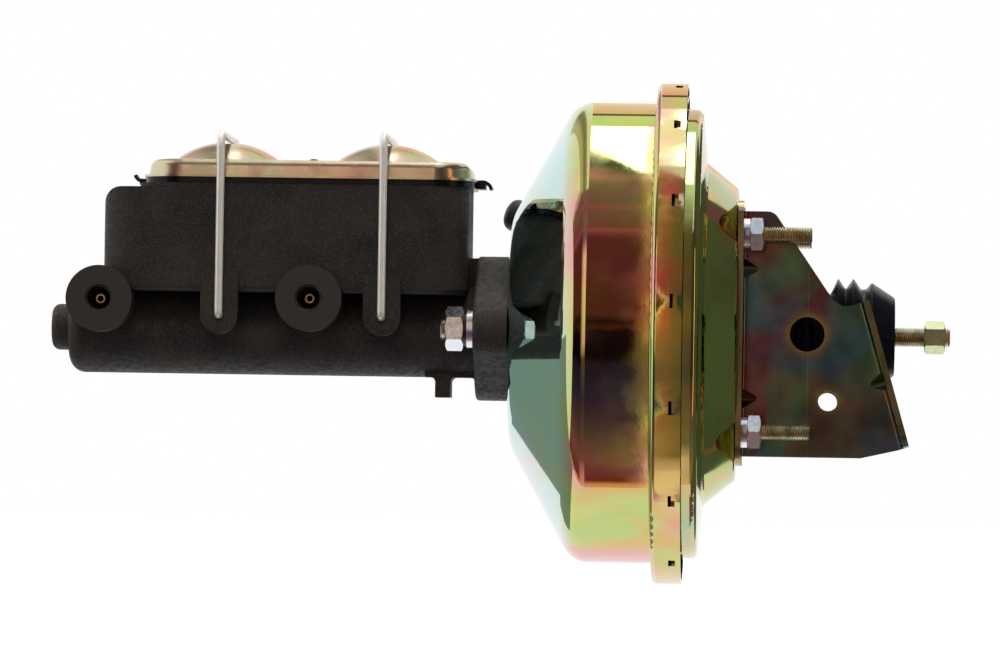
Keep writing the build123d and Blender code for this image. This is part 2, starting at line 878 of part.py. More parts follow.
output_back_x = disc_front_x - touch_gap
output_neck_x = output_back_x - output_head
output_rod = turned(
    (socket_floor_x + seat_gap, 0),
    (socket_floor_x + seat_gap, output_rod_r / 2),
    (socket_floor_x + seat_gap + output_rod_r / 2, output_rod_r),
    (output_neck_x, output_rod_r),
    (output_neck_x, disc_fit_r),
    (output_back_x, disc_fit_r),
    (output_back_x, 0),
)
finish(output_rod, "output_rod")

# Plunger: front stem, a neck for the key, a head for the poppet and a socket for the rod's ball
plunger_front_x = disc_floor_x + valve_lead + seat_gap
key_front_x = key_x - key_thickness / 2 - seat_gap
key_back_x = key_x + key_thickness / 2 + valve_lead + seat_gap
socket_r = rod_ball_r + run_gap
socket_end_x = rod_ball_x - rod_ball_r - run_gap
valve_plunger = turned(
    (plunger_front_x, 0),
    (plunger_front_x, plunger_r),
    (key_front_x, plunger_r),
    (key_front_x, key_neck_r),
    (key_back_x, key_neck_r),
    (key_back_x, plunger_r),
    (head_front_x, plunger_r),
    (head_front_x, plunger_head_r),
    (plunger_rear_x, plunger_head_r),
    (plunger_rear_x, socket_r),
    (socket_end_x, socket_r),
    (socket_end_x, 0),
)
finish(valve_plunger, "valve_plunger")

poppet_face_x = plunger_rear_x + touch_gap
poppet_back_x = poppet_face_x + poppet_face
poppet_bead_x = poppet_back_x + poppet_sleeve
poppet_end_x = poppet_bead_x + poppet_bead
poppet_fit_r = poppet_room_r - run_gap
poppet_sleeve_r = poppet_fit_r - poppet_wall / 2
poppet_valve = turned(
    (poppet_face_x, poppet_mouth_r),
    (poppet_face_x, poppet_sleeve_r),
    (poppet_bead_x, poppet_sleeve_r),
    (poppet_bead_x, poppet_fit_r),
    (poppet_end_x, poppet_fit_r),
    (poppet_end_x, poppet_sleeve_r - poppet_wall),
    (poppet_back_x, poppet_sleeve_r - poppet_wall),
    (poppet_back_x, poppet_mouth_r),
)
finish(poppet_valve, "poppet_valve")
retainer_x = poppet_end_x + touch_gap
poppet_retainer = turned(
    (retainer_x, retainer_bore_r),
    (retainer_x, poppet_fit_r),
    (retainer_x + retainer_length, poppet_fit_r),
    (retainer_x + retainer_length, poppet_fit_r - poppet_wall),
    (retainer_x + poppet_wall, poppet_fit_r - poppet_wall),
    (retainer_x + poppet_wall, retainer_bore_r),
)
finish(poppet_retainer, "poppet_retainer")
poppet_spring = coil_spring(
    poppet_back_x + touch_gap,
    retainer_x - touch_gap,
    poppet_spring_r,
    poppet_wire_r,
    poppet_spring_turns,
)
finish(poppet_spring, "poppet_spring")
rod_spring = coil_spring(
    retainer_x + poppet_wall + touch_gap,
    rod_collar_x - touch_gap,
    rod_spring_r,
    rod_wire_r,
    rod_spring_turns,
)
finish(rod_spring, "rod_spring")

# Push rod: ball, neck, spring collar and a long threaded end with its jam nut
with BuildPart() as push_rod:
    add(
        turned(
            (rod_ball_x, 0),
            (rod_ball_x, rod_ball_neck_r),
            (rod_neck_end_x, rod_ball_neck_r),
            (rod_neck_end_x, rod_r),
            (rod_collar_x, rod_r),
            (rod_collar_x, rod_collar_r),
            (rod_collar_x + rod_collar, rod_collar_r),
            (rod_collar_x + rod_collar, rod_r),
            (rod_end_x - rod_chamfer, rod_r),
            (rod_end_x, rod_r - rod_chamfer),
            (rod_end_x, 0),
        ).part
    )
    with Locations((rod_ball_x, 0, 0)):
        Sphere(rod_ball_r)
finish(push_rod, "push_rod")
finish(hex_nuts([(0, 0)], jam_nut_x, jam_nut, jam_nut_flats, rod_r + touch_gap, flat_to_side), "jam_nut")

# Filter and silencer fill the open end of the tube round the rod
silencer_end_x = valve_tube_end_x - touch_gap
silencer_start_x = silencer_end_x - silencer_length
filter_end_x = silencer_start_x - touch_gap
filter_start_x = filter_end_x - filter_length
filter_hole_r = rod_r + bolt_gap
tube_fill_r = valve_tube_bore_r - run_gap


def tube_ring(start_x, end_x):
    """A foam ring between the rod and the tube of the valve body."""
    return turned(
        (start_x, filter_hole_r),
        (start_x, tube_fill_r),
        (end_x, tube_fill_r),
        (end_x, filter_hole_r),
    )


finish(tube_ring(silencer_start_x, silencer_end_x), "silencer")
finish(tube_ring(filter_start_x, filter_end_x), "air_filter")

# Diaphragm plate in front of the hub's flange, and the diaphragm between the two
plate_x = hub_flange_x - diaphragm_sheet - 2 * touch_gap
diaphragm_plate = pressed(
    [
        (plate_x, hub_r),
        (plate_x, plate_dish_r),
        (plate_step_x, plate_step_r),
        (plate_step_x, plate_rim_r),
        (plate_step_x - plate_rim_depth, plate_rim_r),
    ],
    [plate_sheet, 2 * plate_sheet, 3 * plate_sheet],
    plate_sheet,
    Side.LEFT,
)
finish(diaphragm_plate, "diaphragm_plate")
diaphragm_x = plate_x + touch_gap
diaphragm_step_x = plate_step_x + touch_gap
fold_x = diaphragm_step_x - diaphragm_fold_depth
with BuildPart() as diaphragm:
    add(
        pressed(
            [
                (diaphragm_x, hub_r),
                (diaphragm_x, plate_dish_r),
                (diaphragm_step_x, plate_step_r),
                (diaphragm_step_x, diaphragm_fold_r),
                (fold_x, diaphragm_fold_r),
                (fold_x, diaphragm_bead_inner_r + diaphragm_sheet),
            ],
            [plate_sheet, 2 * plate_sheet, diaphragm_sheet, diaphragm_sheet],
            diaphragm_sheet,
            Side.RIGHT,
        ).part
    )
    add(
        turned(
            (rim_front_x + shell_sheet + touch_gap, diaphragm_bead_inner_r),
            (rim_front_x + shell_sheet + touch_gap, diaphragm_bead_outer_r),
            (rear_flange_x - shell_sheet - touch_gap, diaphragm_bead_outer_r),
            (rear_flange_x - shell_sheet - touch_gap, diaphragm_bead_inner_r),
        ).part
    )
finish(diaphragm, "diaphragm")
return_spring = coil_spring(
    stud_plate_back_x + touch_gap,
    plate_x - plate_sheet - touch_gap,
    spring_coil_r,
    spring_wire_r,
    spring_turns,
)
finish(return_spring, "return_spring")

# Check valve: grommet through the pad on the cone, and an elbow whose nipple points to the far side.
# A collar on the nipple stops the hose.
grommet_top = check_pad_rise + touch_gap
grommet_foot = check_pad_rise - check_pad_thickness - touch_gap
with BuildPart() as valve_grommet:
    with BuildSketch(check_plane.offset(grommet_top)):
        Circle(grommet_r)
    extrude(amount=grommet_lip)
    with BuildSketch(check_plane.offset(grommet_top)):
        Circle(grommet_hole_r - touch_gap)
    extrude(amount=grommet_foot - grommet_top)
    with BuildSketch(check_plane.offset(grommet_foot)):
        Circle(grommet_foot_r)
    extrude(amount=-grommet_lip)
    with BuildSketch(check_plane.offset(grommet_top + grommet_lip)):
        Circle(check_stem_r + run_gap)
    extrude(amount=grommet_foot - grommet_top - 2 * grommet_lip, mode=Mode.SUBTRACT)
finish(valve_grommet, "valve_grommet")

check_seat = grommet_top + grommet_lip + touch_gap
with BuildPart() as check_valve:
    with BuildSketch(check_plane.offset(check_seat)):
        Circle(check_body_r)
    extrude(amount=check_body)
    body_top = check_plane.offset(check_seat + check_body).origin
    fillet(check_valve.faces().sort_by_distance(body_top)[0].edges(), check_knee_r)
    with BuildSketch(check_plane.offset(check_seat)):
        Circle(check_stem_r)
    extrude(amount=grommet_foot - check_seat - 2 * grommet_lip)
    nipple_origin = check_plane.offset(check_seat + nipple_height).origin
    nipple_way = check_plane.y_dir if check_plane.y_dir.Y > 0 else -check_plane.y_dir
    with BuildSketch(Plane(origin=nipple_origin, z_dir=nipple_way)):
        Circle(nipple_r)
    extrude(amount=nipple_length)
    with BuildSketch(Plane(origin=nipple_origin, z_dir=nipple_way)):
        Circle(nipple_stop_r)
    extrude(amount=nipple_stop)
    with BuildSketch(Plane(origin=nipple_origin + nipple_way * check_body_r / 2, z_dir=nipple_way)):
        Circle(nipple_bore_r)
    extrude(amount=nipple_length, mode=Mode.SUBTRACT)
finish(check_valve, "check_valve")

# Master cylinder casting: the reservoir body is its side profile cut to a rounded plan
with BuildPart() as reservoir:
    with BuildSketch(Plane.XZ) as side:
        with Locations((body_rear_x, body_foot_z)):
            Rectangle(body_length, body_top_z - body_foot_z, align=(Align.MAX, Align.MIN))
        corners = side.vertices().group_by(Axis.X)[0].sort_by(Axis.Y)
        fillet(corners[-1], shoulder_r)
        fillet(corners[0], shoulder_r / 2)
    extrude(amount=body_half_width, both=True)
    with BuildSketch(Plane.XY.offset(body_foot_z)):
        with Locations((body_rear_x - body_length / 2, 0)):
            RectangleRounded(body_length, 2 * body_half_width, body_corner_r)
    extrude(amount=body_top_z, mode=Mode.INTERSECT)
    fillet(reservoir.edges().group_by(Axis.Z)[0], foot_knee_r)

reservoir_rim_x = front_x - rim_back
rim_length = body_rear_x - reservoir_rim_x
bowl_front_x = reservoir_rim_x + bowl_wall
bowl_rear_x = body_rear_x - bowl_wall
divider_x = (front_port_x + rear_port_x) / 2 + divider_shift
bowl_half_width = body_half_width - bowl_wall
barrel_bore_end_x = nose_x + barrel_end_wall
ring_x = front_x - ring_back - ring_sheet
ports = ((front_port_x, front_port_z), (rear_port_x, rear_port_z))
feed_holes = [
    (primary_front_x - cup_width - 2 * bypass_hole_r, bypass_hole_r),
    (primary_front_x + 3 * cup_width, intake_hole_r),
    (secondary_front_x - cup_width - 2 * bypass_hole_r, bypass_hole_r),
    (secondary_front_x + 3 * cup_width, intake_hole_r),
]
with BuildPart() as mc_body:
    # Barrel with a rounded closed end and a nose boss
    with BuildSketch(Plane.YZ.offset(barrel_end_x)):
        Circle(barrel_r)
    extrude(amount=flange_front_x - barrel_end_x)
    fillet(mc_body.edges().group_by(Axis.X)[0], barrel_knee_r)
    with BuildSketch(Plane.YZ.offset(nose_x)):
        with Locations((0, -nose_drop)):
            Circle(nose_r)
    extrude(amount=nose_length + barrel_knee_r)
    fillet(mc_body.edges().group_by(Axis.X)[0], nose_knee_r)
    # Flange with two ears, and the pilot that enters the booster
    with BuildSketch(Plane.YZ.offset(flange_front_x)):
        with Locations((0, flange_rise)):
            Circle(flange_r)
        with Locations(*mc_stud_places):
            Circle(ear_r)
        make_hull()
    extrude(amount=flange)
    flange_edges = mc_body.edges().filter_by_position(
        Axis.X, flange_front_x - touch_gap, flange_front_x + touch_gap
    )
    fillet(flange_edges.filter_by(lambda edge: edge.length > ear_r), flange_knee_r)
    with BuildSketch(Plane.YZ.offset(front_x)):
        Circle(pilot_r - touch_gap)
    extrude(amount=shell_sheet)
    # Foot under the barrel, ahead of the flange, with rounded roots
    leg_x = front_x - leg_back
    with BuildSketch(Plane.XZ) as leg:
        with BuildLine():
            Polyline(
                (leg_x - 2 * leg_root_r, 0),
                (leg_x - 2 * leg_root_r, -barrel_r),
                (leg_x, -barrel_r),
                (leg_x, leg_foot_z),
                (leg_x + leg_width, leg_foot_z),
                (leg_x + leg_width, -barrel_r),
                (flange_front_x, -barrel_r),
                (flange_front_x, -barrel_r - 1.5 * leg_root_r),
                (flange_front_x + flange / 2, -barrel_r - 1.5 * leg_root_r),
                (flange_front_x + flange / 2, 0),
                close=True,
            )
        make_face()
        roots = leg.vertices().filter_by_position(Axis.Y, -barrel_r - touch_gap, -barrel_r + touch_gap)
        fillet(roots.sort_by(Axis.X)[1:], leg_root_r)
    extrude(amount=leg_half_width, both=True)
    add(reservoir.part)
    # Rim that seals on the gasket
    with BuildSketch(Plane.XY.offset(body_top_z)):
        with Locations((body_rear_x - rim_length / 2, 0)):
            RectangleRounded(rim_length, 2 * body_half_width, rim_corner_r)
    extrude(amount=rim_top_z - body_top_z)
    # Web between the reservoir and the flange, above the barrel
    with Locations(((body_rear_x + flange_front_x) / 2, 0, (body_foot_z + flange_r) / 2)):
        Box(bowl_gap, 2 * web_half_width, flange_r - body_foot_z)
    # Two port bosses on the near side
    for port_x, port_z in ports:
        with BuildSketch(Plane.XZ.offset(port_face_y)):
            with Locations((port_x, port_z)):
                Circle(port_boss_r)
        extrude(amount=-port_face_y)
    # Four lugs for the bails, running up the walls
    for pivot_x in (front_pivot_x, rear_pivot_x):
        with BuildSketch(Plane.XZ.offset(lug_outside)):
            with Locations((pivot_x, pivot_z)):
                Circle(lug_r)
                Rectangle(2 * lug_r, lug_top_z - pivot_z, align=(Align.CENTER, Align.MIN))
        lug = extrude(amount=-(lug_outside - lug_inside), mode=Mode.PRIVATE)
        add([lug, lug.mirror(Plane.XZ)])
    # Bore from the pilot to its closed end, with a groove for the snap ring
    with BuildSketch(Plane.YZ.offset(front_x + pilot_length)):
        Circle(bore_r)
    extrude(amount=barrel_bore_end_x - front_x - pilot_length, mode=Mode.SUBTRACT)
    with BuildSketch(Plane.YZ.offset(ring_x - touch_gap)):
        Circle(ring_groove_r)
    extrude(amount=ring_sheet + 2 * touch_gap, mode=Mode.SUBTRACT)
    # Two bowls; the front one runs on under the shoulder
    for start_x, end_x, top_z in (
        (bowl_front_x, divider_x - divider / 2, rim_top_z),
        (divider_x + divider / 2, bowl_rear_x, rim_top_z),
        (body_front_x + 1.5 * bowl_wall, divider_x - divider / 2, body_top_z - shoulder_r),
    ):
        with BuildSketch(Plane.XY.offset(bowl_floor_z)):
            with Locations(((start_x + end_x) / 2, 0)):
                RectangleRounded(end_x - start_x, 2 * bowl_half_width, bowl_corner_r)
        extrude(amount=top_z - bowl_floor_z, mode=Mode.SUBTRACT)
    # Each bowl feeds the bore through a small and a large hole
    for hole_x, hole_r in feed_holes:
        with BuildSketch(Plane.XY):
            with Locations((hole_x, 0)):
                Circle(hole_r)
        extrude(amount=bowl_floor_z, mode=Mode.SUBTRACT)
    # Threaded outlets, their mouths and the drillings into the bore
    for port_x, port_z in ports:
        for start_y, end_y, hole_r in (
            (port_face_y, port_face_y - port_depth, port_thread_r),
            (port_face_y, port_face_y - port_depth - seat_pocket, seat_pocket_r),
            (port_face_y, 0, port_drill_r),
        ):
            with BuildSketch(Plane.XZ.offset(start_y)):
                with Locations((port_x, port_z)):
                    Circle(hole_r)
            extrude(amount=end_y - start_y, mode=Mode.SUBTRACT)
        mouth = mc_body.edges().filter_by(GeomType.CIRCLE)
        mouth = mouth.sort_by_distance((port_x + port_thread_r, -port_face_y, port_z))[0]
        chamfer(mouth, port_mouth_r - port_thread_r)
    # Stud holes in the ears and pivot holes in the lugs
    with BuildSketch(Plane.YZ.offset(flange_front_x)):
        with Locations(*mc_stud_places):
            Circle(mc_stud_r + bolt_gap)
    extrude(amount=flange, mode=Mode.SUBTRACT)
    for lug_y in (lug_inside, -lug_outside):
        with BuildSketch(Plane.XZ.offset(lug_y)):
            with Locations((front_pivot_x, pivot_z), (rear_pivot_x, pivot_z)):
                Circle(bail_wire_r + run_gap)
        extrude(amount=lug_outside - lug_inside, mode=Mode.SUBTRACT)
finish(mc_body, "mc_body")

# Tube seats: a small brass cone with a through hole at the bottom of each outlet
seat_floor_y = port_face_y - port_depth - seat_pocket
seat_base_r = seat_pocket_r - touch_gap
with BuildPart() as tube_seats:
    for port_x, port_z in ports:
        with BuildSketch(Plane.XZ.offset(seat_floor_y)):
            with Locations((port_x, port_z)):
                Circle(seat_base_r)
        extrude(amount=seat_base)
        with Locations(Plane(origin=(port_x, -seat_floor_y - seat_base, port_z), z_dir=(0, -1, 0))):
            Cone(seat_base_r, seat_nose_r, seat_height, align=(Align.CENTER, Align.CENTER, Align.MIN))
        with BuildSketch(Plane.XZ.offset(seat_floor_y)):
            with Locations((port_x, port_z)):
                Circle(seat_bore_r)
        extrude(amount=seat_pocket, mode=Mode.SUBTRACT)
finish(tube_seats, "tube_seats")

# Pistons: spools whose lands run in the bore and whose grooves hold the cups
land_r = bore_r - land_gap
primary_piston = turned(
    (primary_front_x - cup_width, 0),
    (primary_front_x - cup_width, cup_nose_r),
    (primary_front_x, cup_nose_r),
    (primary_front_x, land_r),
    (primary_front_x + cup_width, land_r),
    (primary_front_x + cup_width, piston_core_r),
    (primary_rear_x - 3 * cup_width, piston_core_r),
    (primary_rear_x - 3 * cup_width, land_r),
    (primary_rear_x - 2 * cup_width, land_r),
    (primary_rear_x - 2 * cup_width, piston_core_r),
    (primary_rear_x - cup_width, piston_core_r),
    (primary_rear_x - cup_width, land_r),
    (primary_rear_x, land_r),
    (primary_rear_x, piston_socket_r),
    (socket_floor_x, piston_socket_r),
    (socket_floor_x, 0),
)
finish(primary_piston, "primary_piston")
secondary_piston = turned(
    (secondary_front_x - cup_width, 0),
    (secondary_front_x - cup_width, cup_nose_r),
    (secondary_front_x, cup_nose_r),
    (secondary_front_x, land_r),
    (secondary_front_x + cup_width, land_r),
    (secondary_front_x + cup_width, piston_core_r),
    (secondary_rear_x - 3 * cup_width, piston_core_r),
    (secondary_rear_x - 3 * cup_width, land_r),
    (secondary_rear_x - 2 * cup_width, land_r),
    (secondary_rear_x - 2 * cup_width, piston_core_r),
    (secondary_rear_x - cup_width, piston_core_r),
    (secondary_rear_x - cup_width, land_r),
    (secondary_rear_x, land_r),
    (secondary_rear_x, 0),
)
finish(secondary_piston, "secondary_piston")


def cups(front_x, rear_x):
    """A cup on the nose ahead of front_x, and one in the groove between the rear lands."""
    wall = (land_r - cup_nose_r) / 3
    front = turned(
        (front_x - touch_gap, cup_nose_r + touch_gap),
        (front_x - touch_gap, land_r),
        (front_x - cup_width, land_r),
        (front_x - cup_width, land_r - wall),
        (front_x - cup_width / 2, land_r - wall),
        (front_x - cup_width / 2, cup_nose_r + wall),
        (front_x - cup_width, cup_nose_r + wall),
        (front_x - cup_width, cup_nose_r + touch_gap),
    )
    rear = turned(
        (rear_x - cup_width - touch_gap, piston_core_r + touch_gap),
        (rear_x - cup_width - touch_gap, land_r),
        (rear_x - 2 * cup_width + touch_gap, land_r),
        (rear_x - 2 * cup_width + touch_gap, piston_core_r + touch_gap),
    )
    with BuildPart() as pair:
        add([front.part, rear.part])
    return pair


finish(cups(primary_front_x, primary_rear_x), "primary_cups")
finish(cups(secondary_front_x, secondary_rear_x), "secondary_cups")
primary_spring = coil_spring(
    secondary_rear_x + touch_gap,
    primary_front_x - cup_width - touch_gap,
    mc_spring_r,
    mc_spring_wire_r,
    mc_spring_turns,
)
finish(primary_spring, "primary_spring")
secondary_spring = coil_spring(
    barrel_bore_end_x + touch_gap,
    secondary_front_x - cup_width - touch_gap,
    mc_spring_r,
    mc_spring_wire_r,
    mc_spring_turns,
)
finish(secondary_spring, "secondary_spring")

with BuildPart() as snap_ring:
    with BuildSketch(Plane.YZ.offset(ring_x)):
        Circle(ring_groove_r - touch_gap)
        Circle(ring_bore_r, mode=Mode.SUBTRACT)
        with Locations((0, -ring_groove_r)):
            Rectangle(ring_gap_width, ring_groove_r, mode=Mode.SUBTRACT)
    extrude(amount=ring_sheet)
finish(snap_ring, "snap_ring")

# Gasket: a flat ring plate with a pocket into each bowl, end tabs and a nub through the lid
lid_front_x = front_x - lid_front_back
lid_rear_x = front_x - lid_rear_back
lid_length = lid_rear_x - lid_front_x
lid_middle_x = (lid_front_x + lid_rear_x) / 2
dome_places = [(front_pivot_x, 0), (rear_pivot_x, 0)]
with BuildPart() as cover_gasket:
    with BuildSketch(Plane.XY.offset(rim_top_z)):
        with Locations((lid_middle_x, 0)):
            RectangleRounded(
                lid_length - 2 * gasket_inset,
                2 * (lid_half_width - gasket_inset),
                lid_corner_r - gasket_inset,
            )
        for end_x in (lid_front_x, lid_rear_x):
            with Locations((end_x, 0)):
                Rectangle(2 * tab_reach_out, 2 * tab_half_width)
    extrude(amount=gasket)
    with BuildSketch(Plane.XY.offset(rim_top_z - gasket_pocket)):
        with Locations(*dome_places):
            Circle(pocket_r)
    extrude(amount=gasket_pocket)
    with BuildSketch(Plane.XY.offset(rim_top_z - gasket_pocket + gasket / 2)):
        with Locations(*dome_places):
            Circle(pocket_r - gasket / 2)
    extrude(amount=gasket_pocket + gasket, mode=Mode.SUBTRACT)
    with BuildSketch(Plane.XY.offset(lid_foot_z)):
        with Locations((lid_middle_x, 0)):
            Circle(nub_r)
    extrude(amount=lid_height + nub_height)
    fillet(cover_gasket.edges().group_by(Axis.Z)[-1], nub_r / 2)
finish(cover_gasket, "cover_gasket")


def lid_form(inset):
    """The lid's outer form, or with an inset its hollow: skirt, rounded shoulder and two domes."""
    top_z = lid_top_z - inset
    with BuildPart() as form:
        with BuildSketch(Plane.XY.offset(lid_foot_z)):
            with Locations((lid_middle_x, 0)):
                RectangleRounded(
                    lid_length - 2 * (lid_lip + inset),
                    2 * (lid_half_width - lid_lip - inset),
                    lid_corner_r - lid_lip - inset,
                )
        extrude(amount=top_z - lid_foot_z, taper=lid_lean)
        fillet(form.edges().group_by(Axis.Z)[-1], lid_knee_r - inset)
        ball_r = (dome_r**2 + dome_height**2) / (2 * dome_height)
        for x, y in dome_places:
            with BuildSketch(Plane.XZ):
                with Locations((x, dome_top_z - ball_r)):
                    Circle(ball_r - inset)
                with Locations((x, top_z - inset)):
                    Rectangle(dome_r, 2 * dome_height, align=(Align.MIN, Align.MIN), mode=Mode.INTERSECT)
            revolve(axis=Axis((x, 0, 0), (0, 0, 1)))
            if not inset:
                with Locations((x, 0, dome_top_z)):
                    Box(groove_width, 2 * dome_r, 2 * groove_depth, mode=Mode.SUBTRACT)
    return form.part


with BuildPart() as cover:
    add(lid_form(0))
    with BuildSketch(Plane.XY.offset(lid_foot_z)):
        with Locations((lid_middle_x, 0)):
            RectangleRounded(lid_length, 2 * lid_half_width, lid_corner_r)
    extrude(amount=lid_sheet)
    add(lid_form(lid_sheet), mode=Mode.SUBTRACT)
    with BuildSketch(Plane.XY.offset(lid_foot_z)):
        with Locations((lid_middle_x, 0)):
            Circle(nub_r + touch_gap)
    extrude(amount=lid_height + lid_sheet, mode=Mode.SUBTRACT)
finish(cover, "cover")

# Bails: one wire each, hooked into the lugs, up both walls and across a dome
for name, pivot_x in (("front_bail", front_pivot_x), ("rear_bail", rear_pivot_x)):
    with BuildPart() as bail:
        with BuildLine() as wire:
            FilletPolyline(
                (pivot_x, -bail_hook_y, pivot_z),
                (pivot_x, -bail_half_width, pivot_z),
                (pivot_x, -bail_half_width, bail_top_z),
                (pivot_x, bail_half_width, bail_top_z),
                (pivot_x, bail_half_width, pivot_z),
                (pivot_x, bail_hook_y, pivot_z),
                radius=[bail_hook_bend_r, bail_bend_r, bail_bend_r, bail_hook_bend_r],
            )
        with BuildSketch(Plane(origin=wire.line @ 0, z_dir=wire.line % 0)):
            Circle(bail_wire_r)
        sweep()
    finish(bail, name)
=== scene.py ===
# %% [markdown]
# # A vacuum brake booster with its master cylinder
#
# The CAD parts come in first, as a fixed frame in metres. +X points to the pedal, +Z is up and
# the outlet ports look along -Y. Everything made here is placed in that frame, so nothing is fitted.

# %% Load the CAD frame
import bmesh
import bpy
from math import cos, pi, radians, sin, sqrt, tan
from mathutils import Matrix, Vector


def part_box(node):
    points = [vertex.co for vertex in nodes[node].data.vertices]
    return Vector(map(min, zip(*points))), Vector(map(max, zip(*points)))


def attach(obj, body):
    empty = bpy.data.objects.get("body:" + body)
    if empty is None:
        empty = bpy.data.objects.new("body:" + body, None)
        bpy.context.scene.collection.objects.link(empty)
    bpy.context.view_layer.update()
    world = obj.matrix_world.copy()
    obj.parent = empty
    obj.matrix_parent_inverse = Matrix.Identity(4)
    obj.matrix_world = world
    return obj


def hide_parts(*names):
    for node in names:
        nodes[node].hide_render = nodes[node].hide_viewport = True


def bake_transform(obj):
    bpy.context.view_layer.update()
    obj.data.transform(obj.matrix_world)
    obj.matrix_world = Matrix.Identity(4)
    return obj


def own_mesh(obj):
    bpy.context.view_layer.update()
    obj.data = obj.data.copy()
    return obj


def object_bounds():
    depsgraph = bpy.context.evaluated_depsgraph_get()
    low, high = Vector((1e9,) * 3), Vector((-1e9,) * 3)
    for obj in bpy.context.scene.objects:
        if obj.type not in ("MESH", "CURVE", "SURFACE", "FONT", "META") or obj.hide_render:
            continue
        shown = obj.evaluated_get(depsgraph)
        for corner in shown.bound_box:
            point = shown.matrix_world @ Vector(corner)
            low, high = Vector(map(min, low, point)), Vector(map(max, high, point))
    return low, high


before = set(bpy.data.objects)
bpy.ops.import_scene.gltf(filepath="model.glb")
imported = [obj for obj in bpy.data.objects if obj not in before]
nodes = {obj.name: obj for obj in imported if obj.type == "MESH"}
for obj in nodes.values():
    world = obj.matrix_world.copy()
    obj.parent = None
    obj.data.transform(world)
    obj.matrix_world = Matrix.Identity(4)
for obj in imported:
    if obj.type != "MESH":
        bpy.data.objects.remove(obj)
cad_box = [list(corner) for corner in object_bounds()]
scene = bpy.context.scene
MM = 0.001
print("CAD nodes:", len(nodes), "box:", cad_box)

# %% [markdown]
# ## The camera
#
# The photograph was taken from far away with a long lens, nearly level with the booster's axis. Points
# that are easy to find in both, such as stud ends and port mouths, fix the azimuth, the height and a
# tilt of about one degree.

# %% Camera
CAMERA_AZIMUTH = radians(2.36)
CAMERA_ELEVATION = radians(-1.26)
CAMERA_TILT = radians(0.908)
CAMERA_DISTANCE = 3.5
CAMERA_LENS = 252.3
CAMERA_TARGET = Vector((-0.1185, 0.0, -0.0011))

back = Vector(
    (
        sin(CAMERA_AZIMUTH) * cos(CAMERA_ELEVATION),
        -cos(CAMERA_AZIMUTH) * cos(CAMERA_ELEVATION),
        sin(CAMERA_ELEVATION),
    )
)
camera = bpy.data.objects.new("camera", bpy.data.cameras.new("camera"))
camera.data.lens = CAMERA_LENS
camera.data.clip_end = 50
camera.location = CAMERA_TARGET + back * CAMERA_DISTANCE
level = back.to_track_quat("Z", "Y").to_matrix()
camera.rotation_euler = (level @ Matrix.Rotation(CAMERA_TILT, 3, "Z")).to_euler()
scene.collection.objects.link(camera)
scene.camera = camera
scene.view_settings.view_transform = "Standard"
print("camera at", [round(value, 3) for value in camera.location])

# %% [markdown]
# ## Small tools for pieces and shaders
#
# A bmesh becomes an object that rides on a CAD body. Edges sharper than a set angle stay crisp and the
# rest shade smoothly. The shader tools place a node, set its inputs by name and wire it up in one call.

# %% Piece and shader tools
DEFAULT_SHARP = radians(35)
WELD = 1e-7


def piece(name, bm, body, material, sharp=DEFAULT_SHARP, outward=True):
    """Turn a finished bmesh into a named piece that rides on a body."""
    bmesh.ops.remove_doubles(bm, verts=bm.verts, dist=WELD)
    if outward:
        bmesh.ops.recalc_face_normals(bm, faces=bm.faces)
    mesh = bpy.data.meshes.new(name)
    bm.to_mesh(mesh)
    bm.free()
    mesh.shade_smooth()
    mesh.set_sharp_from_angle(angle=sharp)
    mesh.materials.append(material)
    made = bpy.data.objects.new(name, mesh)
    scene.collection.objects.link(made)
    if body:
        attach(made, body)
    print(name, "faces:", len(mesh.polygons))
    return made


def place(tree, kind, settings=None, **inputs):
    """Add a node, set its properties, then fill each input with a value or another node's output.

    An input goes by its name with underscores for spaces, or by its number as _0, _1 and so on.
    """
    made = tree.nodes.new(kind)
    for key, value in (settings or {}).items():
        setattr(made, key, value)
    for key, value in inputs.items():
        socket = made.inputs[int(key[1:])] if key[0] == "_" else made.inputs[key.replace("_", " ")]
        if isinstance(value, bpy.types.NodeSocket):
            tree.links.new(value, socket)
        else:
            socket.default_value = value
    return made


def ramp(tree, factor, stops):
    """A straight colour ramp through the stops, each a position and a colour."""
    made = place(tree, "ShaderNodeValToRGB", Fac=factor)
    elements = made.color_ramp.elements
    elements[0].position, elements[0].color = stops[0][0], (*stops[0][1], 1)
    elements[1].position, elements[1].color = stops[-1][0], (*stops[-1][1], 1)
    for position, colour in stops[1:-1]:
        element = elements.new(position)
        element.color = (*colour, 1)
    return made.outputs["Color"]


def math_of(tree, operation, *numbers):
    """One Math node, with its inputs in order."""
    inputs = {f"_{index}": number for index, number in enumerate(numbers)}
    return place(tree, "ShaderNodeMath", {"operation": operation}, **inputs).outputs[0]


# %% [markdown]
# ## The floor
#
# The part lies over a pale floor in a white room. The camera sees the floor as white with a soft shadow,
# but light that bounces finds it grey, or it would wash out the underside. A Light Path node tells the
# two kinds of ray apart. Reflections don't see the floor at all, because the screen below is theirs.

# %% Floor
FLOOR_GAP = 0.0004
FLOOR_RADIUS = 7.0
FLOOR_GREY = (0.45, 0.45, 0.45, 1)
FLOOR_GLOW = 0.97
BOUNCE_GREY = (0.3, 0.3, 0.3, 1)
WHITE = (1, 1, 1, 1)
FLOOR_Z = cad_box[0][2] - FLOOR_GAP


def seen_directly(tree):
    """One for rays from the camera, from gloss and through glass, and zero for light that bounces."""
    path = place(tree, "ShaderNodeLightPath")
    direct = math_of(tree, "MAXIMUM", path.outputs["Is Camera Ray"], path.outputs["Is Glossy Ray"])
    return math_of(tree, "MAXIMUM", direct, path.outputs["Is Transmission Ray"])


